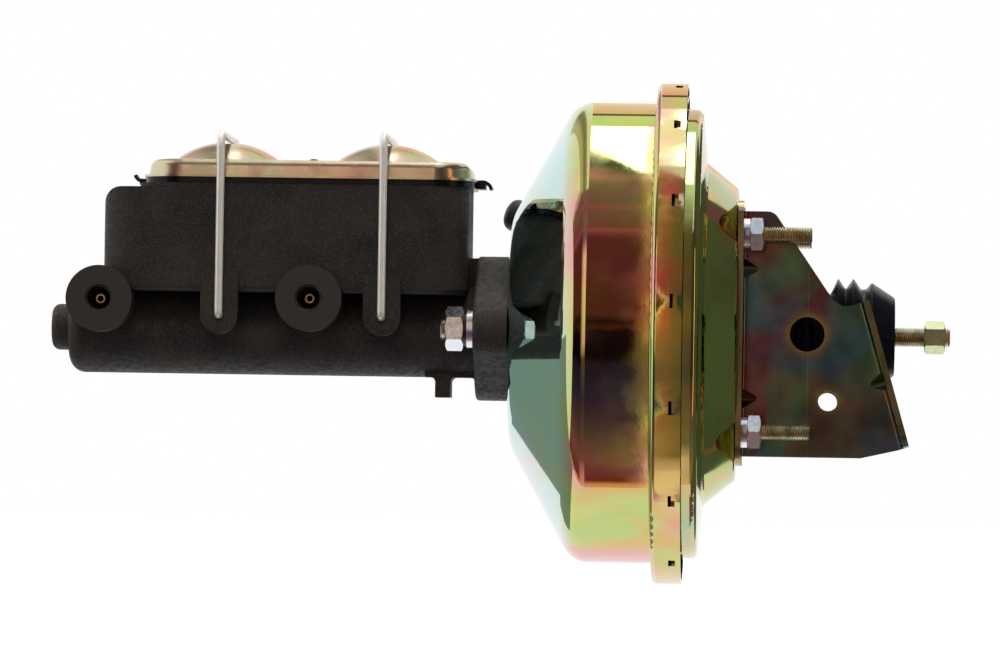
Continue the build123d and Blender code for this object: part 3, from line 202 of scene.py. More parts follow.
def plain_material(name):
    """An empty material and its node tree, with an output node."""
    made = bpy.data.materials.new(name)
    made.use_nodes = True
    made.node_tree.nodes.clear()
    return made, made.node_tree, made.node_tree.nodes.new("ShaderNodeOutputMaterial")


floor_material, tree, output = plain_material("pale_floor")
matte = place(tree, "ShaderNodeBsdfDiffuse", Color=BOUNCE_GREY)
faint = place(tree, "ShaderNodeBsdfDiffuse", Color=FLOOR_GREY)
glow = place(tree, "ShaderNodeEmission", Color=WHITE, Strength=FLOOR_GLOW)
lit = place(tree, "ShaderNodeAddShader", _0=faint.outputs[0], _1=glow.outputs[0])
shown = place(tree, "ShaderNodeMixShader", Fac=seen_directly(tree), _1=matte.outputs[0], _2=lit.outputs[0])
tree.links.new(shown.outputs[0], output.inputs["Surface"])

bm = bmesh.new()
lowered = Matrix.Translation((0, 0, FLOOR_Z))
bmesh.ops.create_circle(bm, cap_ends=True, segments=96, radius=FLOOR_RADIUS, matrix=lowered)
floor = piece("floor", bm, None, floor_material, outward=False)
floor.visible_glossy = False

# %% [markdown]
# ## What the plating mirrors
#
# Bright plating shows whatever it faces, so its look is made by the room. A curved screen stands round
# the camera's side and over the top, and only reflections show it. Its colours follow the angle round
# the X axis, where 0 degrees is level on the camera's side and 90 is straight up. Its middle is what the
# drum mirrors: a bright window above, brown under it, near black at eye level, violet and red-brown
# below. To the left stands a pale wall, the rim has stripes that run round it, and the right is dim.

# %% Bands of the screen, each an angle in degrees and a colour
DRUM_BANDS = [
    (-83, (0.80, 0.55, 0.34)),
    (-80, (0.16, 0.05, 0.03)),
    (-66, (0.21, 0.10, 0.10)),
    (-50, (0.10, 0.05, 0.09)),
    (-34, (0.032, 0.022, 0.10)),
    (-18, (0.020, 0.012, 0.05)),
    (-14, (0.004, 0.002, 0.004)),
    (-1, (0.006, 0.003, 0.005)),
    (1, (0.050, 0.016, 0.012)),
    (4, (0.012, 0.005, 0.006)),
    (8, (0.09, 0.030, 0.022)),
    (46, (0.11, 0.035, 0.035)),
    (49, (0.17, 0.07, 0.07)),
    (51, (0.34, 0.11, 0.10)),
    (53, (0.19, 0.08, 0.08)),
    (62, (0.20, 0.13, 0.12)),
    (64, (0.30, 0.14, 0.14)),
    (67, (0.19, 0.15, 0.13)),
    (76, (0.26, 0.19, 0.17)),
    (83, (0.66, 0.30, 0.42)),
    (88, (0.50, 0.26, 0.34)),
    (91, (0.07, 0.10, 0.14)),
    (110, (0.06, 0.12, 0.13)),
]
RIM_BANDS = [
    (-83, (0.24, 0.20, 0.18)),
    (-64, (0.22, 0.15, 0.14)),
    (-54, (0.34, 0.24, 0.22)),
    (-20, (0.21, 0.13, 0.14)),
    (4, (0.34, 0.19, 0.16)),
    (20, (0.20, 0.13, 0.12)),
    (56, (0.24, 0.17, 0.15)),
    (110, (0.42, 0.30, 0.30)),
]
LEFT_BANDS = [
    (-83, (0.80, 0.55, 0.34)),
    (-66, (0.21, 0.10, 0.10)),
    (-34, (0.06, 0.04, 0.08)),
    (-14, (0.12, 0.09, 0.08)),
    (-8, (0.80, 0.62, 0.48)),
    (0, (0.90, 0.68, 0.52)),
    (14, (0.98, 0.74, 0.57)),
    (36, (0.98, 0.80, 0.67)),
    (46, (0.22, 0.16, 0.13)),
    (110, (0.24, 0.20, 0.17)),
]
RIGHT_BANDS = [
    (-126, (0.24, 0.12, 0.08)),
    (-84, (0.12, 0.08, 0.055)),
    (-82, (0.36, 0.27, 0.19)),
    (-70, (0.20, 0.14, 0.115)),
    (-40, (0.13, 0.09, 0.085)),
    (-22, (0.038, 0.036, 0.044)),
    (0, (0.036, 0.054, 0.054)),
    (20, (0.040, 0.056, 0.050)),
    (44, (0.08, 0.06, 0.055)),
    (70, (0.13, 0.065, 0.07)),
    (126, (0.16, 0.10, 0.13)),
]
SKY_BANDS = [
    (40, (0.80, 0.92, 1.0)),
    (122, (1.0, 1.0, 1.0)),
    (125, (0.78, 1.0, 0.55)),
    (136, (0.80, 0.95, 0.62)),
    (137.4, (0.08, 0.04, 0.015)),
    (138.8, (0.08, 0.04, 0.015)),
    (140.5, (1.0, 0.66, 0.50)),
    (165, (1.0, 0.74, 0.62)),
    (180, (1.0, 1.0, 1.0)),
]

# %% [markdown]
# Some things change along the axis instead: the rim's stripes, the sky at the left, the height of the
# window's sill and the window's share of light. A pair is where a fade starts and where it ends, in
# metres along X or in degrees round it.

# %% Changes along the screen, each a place on X in metres and a colour, an angle or a share
RIM_STRIPES = [
    (-0.108, (0.86, 1.00, 0.62)),
    (-0.0975, (0.86, 1.00, 0.62)),
    (-0.0950, (0.42, 0.19, 0.15)),
    (-0.086, (0.38, 0.13, 0.11)),
    (-0.082, (0.30, 0.20, 0.14)),
    (-0.077, (0.15, 0.17, 0.09)),
    (-0.070, (0.17, 0.18, 0.10)),
]
STRIPE_POWER = 4.5
STRIPES_START = (-66, -58)
LEFT_SKY = [
    (-1.30, (0.60, 0.56, 0.46)),
    (-0.90, (0.26, 0.24, 0.19)),
    (-0.66, (0.34, 0.32, 0.27)),
    (-0.52, (0.95, 0.98, 0.92)),
    (-0.28, (1.0, 1.0, 0.96)),
]
BACK_START = (150, 156)
WINDOW_SILL = [(-0.30, 74), (-0.175, 107), (-0.098, 82), (-0.03, 53), (0.10, 50), (0.60, 54), (1.0, 128)]
WINDOW_SHARE = [
    (-0.245, 0.0),
    (-0.185, 1.0),
    (-0.108, 1.0),
    (-0.104, 0.08),
    (-0.074, 0.08),
    (-0.068, 1.0),
    (0.02, 0.0),
]
WINDOW_FOOT = (79, 82)
WINDOW_HEAD = (123, 122)
WINDOW_POWER = 6.0
FAR_LEFT_EDGE = (-1.1, -0.75)
LEFT_WALL_EDGE = (-0.245, -0.185)
RIM_WALL_EDGE = (-0.1045, -0.1010)
RIGHT_WALL_EDGE = (-0.068, -0.040)
SILL_BLUR = (-0.8, 0.8)
SILL_SHADE = (0.045, 0.075, 0.030, 1)
SILL_SHADE_REACH = (-16, -2)
SILL_SHADE_END = (RIM_WALL_EDGE[0], RIM_WALL_EDGE[0] - 0.01)
HALF_TURN = 180.0
print("bands of the drum's wall:", len(DRUM_BANDS), "stripes of the rim:", len(RIM_STRIPES))

# %% Tools for colours that follow a number


def fade(tree, value, low, high):
    """Zero at low, one at high and a straight line between. Low may be the larger one."""
    return place(tree, "ShaderNodeMapRange", Value=value, From_Min=low, From_Max=high).outputs[0]


def by_number(tree, number, bands):
    """A colour that follows a number, an angle or a place, through the bands."""
    low, high = bands[0][0], bands[-1][0]
    share = fade(tree, number, low, high)
    return ramp(tree, share, [((at - low) / (high - low), colour) for at, colour in bands])


def share_along(tree, along, stops):
    """A number from 0 to 1 that follows a place through the stops."""
    grey = by_number(tree, along, [(at, (value,) * 3) for at, value in stops])
    return place(tree, "ShaderNodeSeparateColor", Color=grey).outputs["Red"]


def mixed(tree, share, first, second, blend="MIX"):
    """One Mix node on two colours, which are its inputs 6 and 7 and its output 2."""
    settings = {"data_type": "RGBA", "blend_type": blend, "clamp_factor": True}
    return place(tree, "ShaderNodeMix", settings, _0=share, _6=first, _7=second).outputs[2]


def mixed_number(tree, share, first, second):
    """One Mix node on two numbers, which are its inputs 2 and 3."""
    return place(tree, "ShaderNodeMix", _0=share, _2=first, _3=second).outputs[0]


# %% [markdown]
# ## The screen's paint
#
# The angle round the axis comes from an arctangent of the place on the screen, and a little noise makes
# the bands wander as real surroundings do. The walls follow each other along X: the drum's bands far to
# the left, the pale left ones, the drum's again, the striped ones of the rim and the dim right ones. Over
# the window's sill the sky takes their place, and the window in it is several times as bright.

# %% Paint of the screen
SCREEN_RAGGED = radians(9)

screen_material, tree, output = plain_material("banded_screen")
spot = place(tree, "ShaderNodeTexCoord").outputs["Object"]
where = place(tree, "ShaderNodeSeparateXYZ", Vector=spot)
front = math_of(tree, "MULTIPLY", where.outputs["Y"], -1.0)
height_angle = math_of(tree, "ARCTAN2", where.outputs["Z"], front)
ragged = place(tree, "ShaderNodeTexNoise", Vector=spot, Scale=0.8, Detail=3.0).outputs["Fac"]
wander = math_of(tree, "MULTIPLY", math_of(tree, "SUBTRACT", ragged, 0.5), SCREEN_RAGGED)
angle = math_of(tree, "MULTIPLY", math_of(tree, "ADD", height_angle, wander), HALF_TURN / pi)
along = where.outputs["X"]
not_left = fade(tree, along, *LEFT_WALL_EDGE)
drum_wall = by_number(tree, angle, DRUM_BANDS)
wall = mixed(tree, fade(tree, along, *FAR_LEFT_EDGE), drum_wall, by_number(tree, angle, LEFT_BANDS))
wall = mixed(tree, not_left, wall, drum_wall)
striped = fade(tree, angle, *STRIPES_START)
rim_bands = by_number(tree, angle, RIM_BANDS)
rim_wall = mixed(tree, striped, rim_bands, by_number(tree, along, RIM_STRIPES), "MULTIPLY")
lit_rim = place(tree, "ShaderNodeVectorMath", {"operation": "SCALE"}, _0=rim_wall, Scale=STRIPE_POWER)
wall = mixed(tree, fade(tree, along, *RIM_WALL_EDGE), wall, lit_rim.outputs[0])
wall = mixed(tree, fade(tree, along, *RIGHT_WALL_EDGE), wall, by_number(tree, angle, RIGHT_BANDS))
sill_share = share_along(tree, along, [(x, at / HALF_TURN) for x, at in WINDOW_SILL])
past_sill = math_of(tree, "SUBTRACT", angle, math_of(tree, "MULTIPLY", sill_share, HALF_TURN))
over_sill = fade(tree, past_sill, *SILL_BLUR)
shade = fade(tree, past_sill, *SILL_SHADE_REACH)
shade = math_of(tree, "MULTIPLY", shade, fade(tree, along, *SILL_SHADE_END))
wall = mixed(tree, math_of(tree, "MULTIPLY", shade, not_left), wall, SILL_SHADE)
behind = fade(tree, angle, *BACK_START)
left_sky = mixed(tree, behind, by_number(tree, along, LEFT_SKY), WHITE)
sky = mixed(tree, not_left, left_sky, by_number(tree, angle, SKY_BANDS))
shown = mixed(tree, over_sill, wall, sky)
lower = fade(tree, angle, *WINDOW_FOOT)
upper = fade(tree, angle, *WINDOW_HEAD)
window = math_of(tree, "MULTIPLY", math_of(tree, "MULTIPLY", lower, upper), over_sill)
window = math_of(tree, "MULTIPLY", window, share_along(tree, along, WINDOW_SHARE))
power = math_of(tree, "ADD", math_of(tree, "MULTIPLY", window, WINDOW_POWER - 1), 1.0)
glow = place(tree, "ShaderNodeEmission", Color=shown, Strength=power)
tree.links.new(glow.outputs[0], output.inputs["Surface"])
print("nodes in the screen's paint:", len(tree.nodes))

# %% [markdown]
# ## The screen and its cards
#
# A straight line that is spun round the X axis makes a curved sheet. The first stands on the camera's
# side. A roof takes its middle over the top, and two more take its right end some way up and down. Two
# plain cards close the low left and the right, and a warm strip puts the orange line into the brackets'
# folds. Angles are in degrees and the rest in metres.

# %% Screen and cards
SCREEN_RADIUS = 3.0
SCREEN_LEFT = -3.8
SCREEN_RIGHT = 22.0
ROOF_LEFT = -1.6
ROOF_RIGHT = 0.6
SCREEN_LOW = -83
SCREEN_HIGH = 79
ROOF_HIGH = 179
RIGHT_WALL_TOP = 128
RIGHT_WALL_FOOT = -123


def show_only_in_gloss(made):
    """Hide an object from every ray but those that a shiny surface reflects."""
    made.visible_camera = False
    made.visible_diffuse = False
    made.visible_transmission = False
    made.visible_shadow = False
    made.visible_volume_scatter = False


def curved_screen(name, left, right, low, high):
    """A sheet round the X axis between two angles, that only reflections show."""
    bm = bmesh.new()
    foot = Vector((0, -cos(radians(low)), sin(radians(low)))) * SCREEN_RADIUS
    ends = [bm.verts.new(foot + Vector((x, 0, 0))) for x in (left, right)]
    edge = bm.edges.new(ends)
    bmesh.ops.spin(bm, geom=[*ends, edge], axis=(-1, 0, 0), angle=radians(high - low), steps=48)
    show_only_in_gloss(piece(name, bm, None, screen_material))


curved_screen("screen", SCREEN_LEFT, SCREEN_RIGHT, SCREEN_LOW, SCREEN_HIGH)
curved_screen("roof", ROOF_LEFT, ROOF_RIGHT, SCREEN_HIGH, ROOF_HIGH)
curved_screen("right_roof", ROOF_RIGHT, SCREEN_RIGHT, SCREEN_HIGH, RIGHT_WALL_TOP)
curved_screen("right_floor", ROOF_RIGHT, SCREEN_RIGHT, RIGHT_WALL_FOOT, SCREEN_LOW)


def side_card(name, x, y_range, z_range, colour, power=1.0, turn=0.0):
    """An upright card across the X axis, of one plain colour, that only reflections show."""
    paint, tree, output = plain_material(name)
    glow = place(tree, "ShaderNodeEmission", Color=(*colour, 1), Strength=power)
    tree.links.new(glow.outputs[0], output.inputs["Surface"])
    bm = bmesh.new()
    bmesh.ops.create_grid(bm, x_segments=1, y_segments=1, size=0.5)
    bmesh.ops.rotate(bm, matrix=Matrix.Rotation(radians(90), 3, "Y"), verts=bm.verts)
    bmesh.ops.scale(bm, vec=(1, y_range[1] - y_range[0], z_range[1] - z_range[0]), verts=bm.verts)
    bmesh.ops.translate(bm, vec=(x, sum(y_range) / 2, sum(z_range) / 2), verts=bm.verts)
    bmesh.ops.rotate(bm, matrix=Matrix.Rotation(turn, 3, "Z"), verts=bm.verts)
    show_only_in_gloss(piece(name, bm, None, paint))


side_card("low_left_card", -3.0, (-0.4, 4.4), (-3.8, -0.05), (0.24, 0.30, 0.25))
side_card("right_card", 3.0, (-1.2, 7.0), (-3.2, 3.2), (0.092, 0.104, 0.080))
side_card("bend_strip", 2.4, (-0.14, 0.14), (-1.8, 1.8), (1.0, 0.46, 0.20), power=2.4, turn=radians(-42))

# %% [markdown]
# ## Light
#
# Three broad lamps light the part: one above, one over the camera and one behind. They are left out of
# reflections, because the screen already stands for them there. The world is white to the eye and dim as
# a source of light, so the dark casting stays dark.

# %% Lamps and world
WORLD_DIM = 0.22


def softbox(name, location, aim, size, power):
    """A rectangular lamp at a place, turned to its aim."""
    lamp = bpy.data.lights.new(name, "AREA")
    lamp.shape = "RECTANGLE"
    lamp.size, lamp.size_y = size
    lamp.energy = power
    made = bpy.data.objects.new(name, lamp)
    made.location = location
    made.rotation_euler = (Vector(location) - Vector(aim)).to_track_quat("Z", "Y").to_euler()
    made.visible_camera = False
    scene.collection.objects.link(made)
    return made


top = softbox("top_softbox", (-0.1, 0.05, 1.45), (-0.1, 0, 0), (2.0, 0.8), 26)
front_fill = softbox("front_fill", (-0.3, -2.2, 2.2), (-0.1, 0, 0), (1.6, 0.6), 46)
back_fill = softbox("back_fill", (0.2, 2.6, 1.6), (-0.1, 0, 0), (1.6, 0.9), 22)
for lamp in (top, front_fill, back_fill):
    lamp.visible_glossy = False

world = bpy.data.worlds.new("white_room")
world.use_nodes = True
tree = world.node_tree
tree.nodes.clear()
strength = place(tree, "ShaderNodeMapRange", Value=seen_directly(tree), To_Min=WORLD_DIM, To_Max=1.0)
room = place(tree, "ShaderNodeBackground", Color=WHITE, Strength=strength.outputs[0])
tree.links.new(room.outputs[0], tree.nodes.new("ShaderNodeOutputWorld").inputs["Surface"])
scene.world = world

# %% [markdown]
# ## Shared shader groups
#
# Three effects turn up in most finishes: soft patches of colour, a fine relief, and tiny bright specks.
# Each is a node group that is built once. A group puts out only colours and numbers, and the shader that
# uses them stays in its own material.

# %% Group tool and soft patches
COLOUR = "NodeSocketColor"
NUMBER = "NodeSocketFloat"


def new_group(name, inputs, outputs):
    """An empty shader node group with named inputs and outputs."""
    group = bpy.data.node_groups.new(name, "ShaderNodeTree")
    for label, kind, value in inputs:
        socket = group.interface.new_socket(name=label, in_out="INPUT", socket_type=kind)
        socket.default_value = value
    for label, kind in outputs:
        group.interface.new_socket(name=label, in_out="OUTPUT", socket_type=kind)
    return group, group.nodes.new("NodeGroupInput"), group.nodes.new("NodeGroupOutput")


patches, given, result = new_group(
    "soft_patches",
    [
        ("Scale", NUMBER, 20.0),
        ("Swirl", NUMBER, 1.0),
        ("First", COLOUR, WHITE),
        ("Second", COLOUR, WHITE),
        ("Third", COLOUR, WHITE),
        ("Fourth", COLOUR, WHITE),
    ],
    [("Color", COLOUR)],
)
spot = place(patches, "ShaderNodeTexCoord").outputs["Object"]
noise = place(
    patches,
    "ShaderNodeTexNoise",
    Vector=spot,
    Scale=given.outputs["Scale"],
    Detail=3.0,
    Distortion=given.outputs["Swirl"],
).outputs["Fac"]
other = place(
    patches,
    "ShaderNodeTexNoise",
    {"noise_dimensions": "4D"},
    Vector=spot,
    W=4.0,
    Scale=given.outputs["Scale"],
    Detail=2.0,
    Distortion=given.outputs["Swirl"],
).outputs["Fac"]
warm = mixed(patches, fade(patches, noise, 0.38, 0.62), given.outputs["First"], given.outputs["Second"])
cool = mixed(patches, fade(patches, noise, 0.42, 0.60), given.outputs["Third"], given.outputs["Fourth"])
both = mixed(patches, fade(patches, other, 0.44, 0.62), warm, cool)
patches.links.new(both, result.inputs["Color"])

# %% Fine relief
relief, given, result = new_group(
    "fine_relief",
    [("Coarse Scale", NUMBER, 400.0), ("Fine Scale", NUMBER, 2500.0), ("Fine Share", NUMBER, 0.4)],
    [("Height", NUMBER), ("Mask", NUMBER)],
)
spot = place(relief, "ShaderNodeTexCoord").outputs["Object"]
coarse = place(relief, "ShaderNodeTexNoise", Vector=spot, Scale=given.outputs["Coarse Scale"], Detail=4.0)
fine = place(relief, "ShaderNodeTexNoise", Vector=spot, Scale=given.outputs["Fine Scale"], Detail=2.0)
blend = mixed_number(relief, given.outputs["Fine Share"], coarse.outputs["Fac"], fine.outputs["Fac"])
relief.links.new(blend, result.inputs["Height"])
relief.links.new(coarse.outputs["Fac"], result.inputs["Mask"])

# %% Bright specks
# The specks mark painted glints: where the mask is set, the casting's colour is lightened.
SPECK_REACH = 0.32

specks, given, result = new_group(
    "painted_glint_specks",
    [("Scale", NUMBER, 1500.0), ("Amount", NUMBER, 0.15)],
    [("Mask", NUMBER)],
)
cells = place(
    specks,
    "ShaderNodeTexVoronoi",
    Vector=place(specks, "ShaderNodeTexCoord").outputs["Object"],
    Scale=given.outputs["Scale"],
)
chance = place(specks, "ShaderNodeSeparateColor", Color=cells.outputs["Color"]).outputs["Red"]
few = math_of(specks, "LESS_THAN", chance, given.outputs["Amount"])
small = math_of(specks, "LESS_THAN", cells.outputs["Distance"], SPECK_REACH)
specks.links.new(math_of(specks, "MULTIPLY", few, small), result.inputs["Mask"])
print("groups:", [group.name for group in bpy.data.node_groups])

# %% [markdown]
# ## Finishes
#
# Yellow zinc is a bright steel mirror under a film that is thinner than a wave of light, which is why
# it drifts from straw to green, rose and violet. A soft colour patch on a smooth metal gives that drift.
# A number that is the same all over, such as how metallic a piece is, sits on the shader's own socket.

# %% Finish tools
MASK_RANGE = (0.35, 0.65)


def finish_material(name, **sockets):
    """A Principled material whose plain numbers sit on the shader's own sockets."""
    made, tree, output = plain_material(name)
    shader = place(tree, "ShaderNodeBsdfPrincipled", **sockets)
    tree.links.new(shader.outputs[0], output.inputs["Surface"])
    return made, tree, shader


def use_group(tree, group, **inputs):
    """Place a shared group in a material."""
    return place(tree, "ShaderNodeGroup", {"node_tree": group}, **inputs)


def add_relief(tree, shader, depth, strength, **inputs):
    """Bump a surface with the fine relief, to a depth in metres, and return the group."""
    group = use_group(tree, relief, **inputs)
    bump = place(tree, "ShaderNodeBump", Height=group.outputs["Height"], Distance=depth, Strength=strength)
    tree.links.new(bump.outputs[0], shader.inputs["Normal"])
    return group


def vary_roughness(tree, shader, mask, low, high):
    """Let the roughness follow a mask between two values."""
    rough = mixed_number(tree, fade(tree, mask, *MASK_RANGE), low, high)
    tree.links.new(rough, shader.inputs["Roughness"])


def tint(red, green, blue):
    """A colour as it looks on screen, from 0 to 255, as the linear colour that a shader takes."""
    return tuple(((part / 255 + 0.055) / 1.055) ** 2.4 for part in (red, green, blue)) + (1.0,)


# %% Yellow zinc on the shells and the lid
STRAW = tint(214, 206, 130)
LIME = tint(190, 205, 128)
ROSE = tint(226, 164, 160)
GOLD = tint(222, 178, 112)
SEA = tint(160, 196, 168)
OLIVE = tint(172, 176, 112)
ZINC_DEPTH = 0.00003
CONE_START = -0.087
CONE_END = -0.079


def four_tints(tree, tints, scale, swirl):
    """Soft patches in four tints, as a colour."""
    names = ("First", "Second", "Third", "Fourth")
    return use_group(tree, patches, Scale=scale, Swirl=swirl, **dict(zip(names, tints))).outputs["Color"]


def yellow_zinc(name, tints, scale, rough):
    """Iridescent plating in four tints."""
    made, tree, shader = finish_material(name, Metallic=1.0)
    film = four_tints(tree, tints, scale, swirl=1.4)
    tree.links.new(film, shader.inputs["Base Color"])
    grain = add_relief(tree, shader, ZINC_DEPTH, 0.25, Coarse_Scale=60.0, Fine_Scale=900.0, Fine_Share=0.12)
    vary_roughness(tree, shader, grain.outputs["Mask"], *rough)
    return made, tree, shader, film


SHELL_TINTS = (STRAW, LIME, ROSE, GOLD)
CONE_TINTS = (tint(190, 222, 214), tint(206, 222, 186), tint(198, 226, 232), tint(226, 206, 190))
shell_zinc, tree, shader, film = yellow_zinc("yellow_zinc_shell", SHELL_TINTS, 14.0, (0.02, 0.06))
where = place(tree, "ShaderNodeSeparateXYZ", Vector=place(tree, "ShaderNodeTexCoord").outputs["Object"])
on_cone = fade(tree, where.outputs["X"], CONE_END, CONE_START)
film = mixed(tree, on_cone, film, four_tints(tree, CONE_TINTS, scale=11.0, swirl=1.0))
tree.links.new(film, shader.inputs["Base Color"])

rear_zinc = yellow_zinc("yellow_zinc_rear", (LIME, OLIVE, GOLD, SEA), 16.0, (0.04, 0.09))[0]
LID_TINTS = (tint(214, 206, 176), tint(214, 186, 160), tint(200, 206, 170), tint(206, 170, 158))
lid_zinc = yellow_zinc("yellow_zinc_lid", LID_TINTS, 22.0, (0.20, 0.30))[0]
THREAD_TINTS = (tint(228, 222, 194), tint(214, 202, 164), tint(232, 230, 214), tint(188, 182, 150))
thread_zinc = yellow_zinc("yellow_zinc_thread", THREAD_TINTS, 60.0, (0.26, 0.36))[0]
JAM_TINTS = (tint(214, 222, 170), tint(232, 234, 204), tint(222, 218, 176), LIME)
jam_zinc = yellow_zinc("yellow_zinc_jam_nut", JAM_TINTS, 60.0, (0.2, 0.3))[0]

# %% [markdown]
# The brackets have the same plating on rougher sheet, redder and bluer. The film changes round each
# hole, where the bath reaches the cut edge, and a fine pale line crosses the sheet. A ring of colour
# follows the distance from the hole's centre, and the cut edges are bright, picked out by their place.
# Each hole is a centre and a radius in metres, as in the CAD part.

# %% Yellow zinc on the brackets
BRACKET_TINTS = (tint(126, 160, 124), tint(166, 92, 92), tint(112, 152, 162), tint(128, 110, 144))
HOLES = [((0.0347, 0, 0), 0.0086), ((0.0454, 0, -0.0328), 0.0049)]
HALO_WIDTH = 0.006
HALO = [(0, (0.80, 0.42, 0.14)), (0.3, (0.44, 0.40, 0.16)), (0.7, (0.5, 0.2, 0.14)), (1, (0.5, 0.2, 0.14))]
DIE_LINE_X = 0.0352
DIE_LINE_HALF = 0.00014
DIE_LINE_SHARE = 0.45
FLANGE_EDGE_Y = -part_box("bracket_near")[0].y - 0.0003
FLANGE_EDGE_BLUR = 0.0004
BASE_FLANGE_X = (0.0031, 0.0028)

bracket_zinc, tree, shader, film = yellow_zinc("yellow_zinc_bracket", BRACKET_TINTS, 20.0, (0.14, 0.24))
spot = place(tree, "ShaderNodeTexCoord").outputs["Object"]
flat_spot = place(tree, "ShaderNodeVectorMath", {"operation": "MULTIPLY"}, _0=spot, _1=(1, 0, 1)).outputs[0]
for centre, hole_r in HOLES:
    apart = place(tree, "ShaderNodeVectorMath", {"operation": "DISTANCE"}, _0=flat_spot, _1=centre)
    share = fade(tree, apart.outputs["Value"], hole_r, hole_r + HALO_WIDTH)
    film = mixed(tree, share, ramp(tree, share, HALO), film)
where = place(tree, "ShaderNodeSeparateXYZ", Vector=spot)
die_line = math_of(tree, "COMPARE", where.outputs["X"], DIE_LINE_X, DIE_LINE_HALF)
film = mixed(tree, math_of(tree, "MULTIPLY", die_line, DIE_LINE_SHARE), film, tint(226, 214, 176))
aside = math_of(tree, "ABSOLUTE", where.outputs["Y"])
edge = fade(tree, aside, FLANGE_EDGE_Y - FLANGE_EDGE_BLUR, FLANGE_EDGE_Y)
edge = math_of(tree, "MAXIMUM", edge, fade(tree, where.outputs["X"], *BASE_FLANGE_X))
film = mixed(tree, edge, film, tint(176, 158, 118))
tree.links.new(film, shader.inputs["Base Color"])

# %% [markdown]
# The nuts and washers have clear zinc, a bluish white metal without the rainbow, and a satin face.

# %% Clear zinc on the nuts and washers
NUT_TINTS = (tint(236, 244, 252), tint(222, 232, 246), tint(244, 244, 242), tint(230, 234, 242))
NUT_DEPTH = 0.00001
NUT_ROUGH = (0.2, 0.32)
nut_zinc, tree, shader = finish_material("clear_zinc", Metallic=1.0)
tree.links.new(four_tints(tree, NUT_TINTS, scale=70.0, swirl=0.6), shader.inputs["Base Color"])
grain = add_relief(tree, shader, NUT_DEPTH, 0.3, Coarse_Scale=500.0, Fine_Scale=3000.0, Fine_Share=0.4)
vary_roughness(tree, shader, grain.outputs["Mask"], *NUT_ROUGH)

# %% [markdown]
# The casting is dark sand-cast iron: rough and brownish black. Tiny bright specks in its colour are painted
# glints, which stand in for the lamps catching its grains. The ports' faces are machined, so there the
# relief is flat and the roughness is even. A Compare node finds them by their place across the booster.

# %% Sand-cast iron with machined port faces
IRON_TINTS = (tint(33, 30, 29), tint(45, 40, 37), tint(39, 36, 36), tint(51, 43, 36))
PORT_FACE_Y = -0.046
FACE_SKIN = 0.0001
CAST_MASK_RANGE = (0.3, 0.7)
CAST_ROUGH = (0.42, 0.68)
CAST_DEPTH = 0.0006
MACHINED_ROUGH = 0.38
MACHINED_LEVEL = 0.5

sand_iron, tree, shader = finish_material("sand_cast_iron", Metallic=0.0, Specular_IOR_Level=0.32)
skin = four_tints(tree, IRON_TINTS, scale=35.0, swirl=0.8)
painted_glints = use_group(tree, specks, Scale=2000.0, Amount=0.5)
# Painted glints: the specks lighten the iron's colour where the lamps would catch its grains.
iron_with_painted_glints = mixed(tree, painted_glints.outputs["Mask"], skin, tint(82, 78, 74))
spot = place(tree, "ShaderNodeTexCoord").outputs["Object"]
depth = place(tree, "ShaderNodeSeparateXYZ", Vector=spot).outputs["Y"]
machined = math_of(tree, "COMPARE", depth, PORT_FACE_Y, FACE_SKIN)
faced = mixed(tree, machined, iron_with_painted_glints, tint(50, 46, 44))
tree.links.new(faced, shader.inputs["Base Color"])
cast = use_group(tree, relief, Coarse_Scale=380.0, Fine_Scale=1700.0, Fine_Share=0.45)
rough_part = mixed_number(tree, machined, cast.outputs["Height"], MACHINED_LEVEL)
bump = place(tree, "ShaderNodeBump", Height=rough_part, Distance=CAST_DEPTH, Strength=0.9)
tree.links.new(bump.outputs[0], shader.inputs["Normal"])
dull = mixed_number(tree, fade(tree, cast.outputs["Mask"], *CAST_MASK_RANGE), *CAST_ROUGH)
satin = mixed_number(tree, machined, dull, MACHINED_ROUGH)
tree.links.new(satin, shader.inputs["Roughness"])

# %% [markdown]
# Rubber, plastic, wire, turned metals and foam need no more than two close tints, a fine relief and a
# roughness that wanders a little, so one function makes all of them. The bails' plating is half dull,
# because a thin round wire that mirrors the whole room would look dark.

# %% Rubber, plastic, wire, turned metals and foam


def simple_finish(name, tints, scale, rough, depth, **sockets):
    """Two-tone patches with a fine relief, for the smaller finishes."""
    made, tree, shader = finish_material(name, **sockets)
    skin = four_tints(tree, (*tints, *tints[::-1]), scale, swirl=0.4)
    tree.links.new(skin, shader.inputs["Base Color"])
    grain = add_relief(tree, shader, depth, 0.4, Coarse_Scale=250.0, Fine_Scale=1500.0, Fine_Share=0.5)
    vary_roughness(tree, shader, grain.outputs["Mask"], *rough)
    return made


RUBBER = (tint(8, 9, 15), tint(13, 14, 22))
PLASTIC = (tint(31, 31, 31), tint(39, 38, 37))
SPRING_STEEL = (tint(149, 149, 151), tint(166, 164, 162))
ALUMINIUM = (tint(222, 223, 225), tint(230, 230, 230))
BRASS = (tint(186, 166, 130), tint(168, 146, 112))
BAIL_TINTS = (tint(244, 236, 226), tint(230, 226, 220))
FOAM = (tint(63, 63, 63), tint(89, 89, 85))
# Painted shade: the lock washers' tints are dark like the shadow that they sit in between nut and washer.
SHADED_WASHER_TINTS = (tint(70, 62, 60), tint(92, 84, 80))

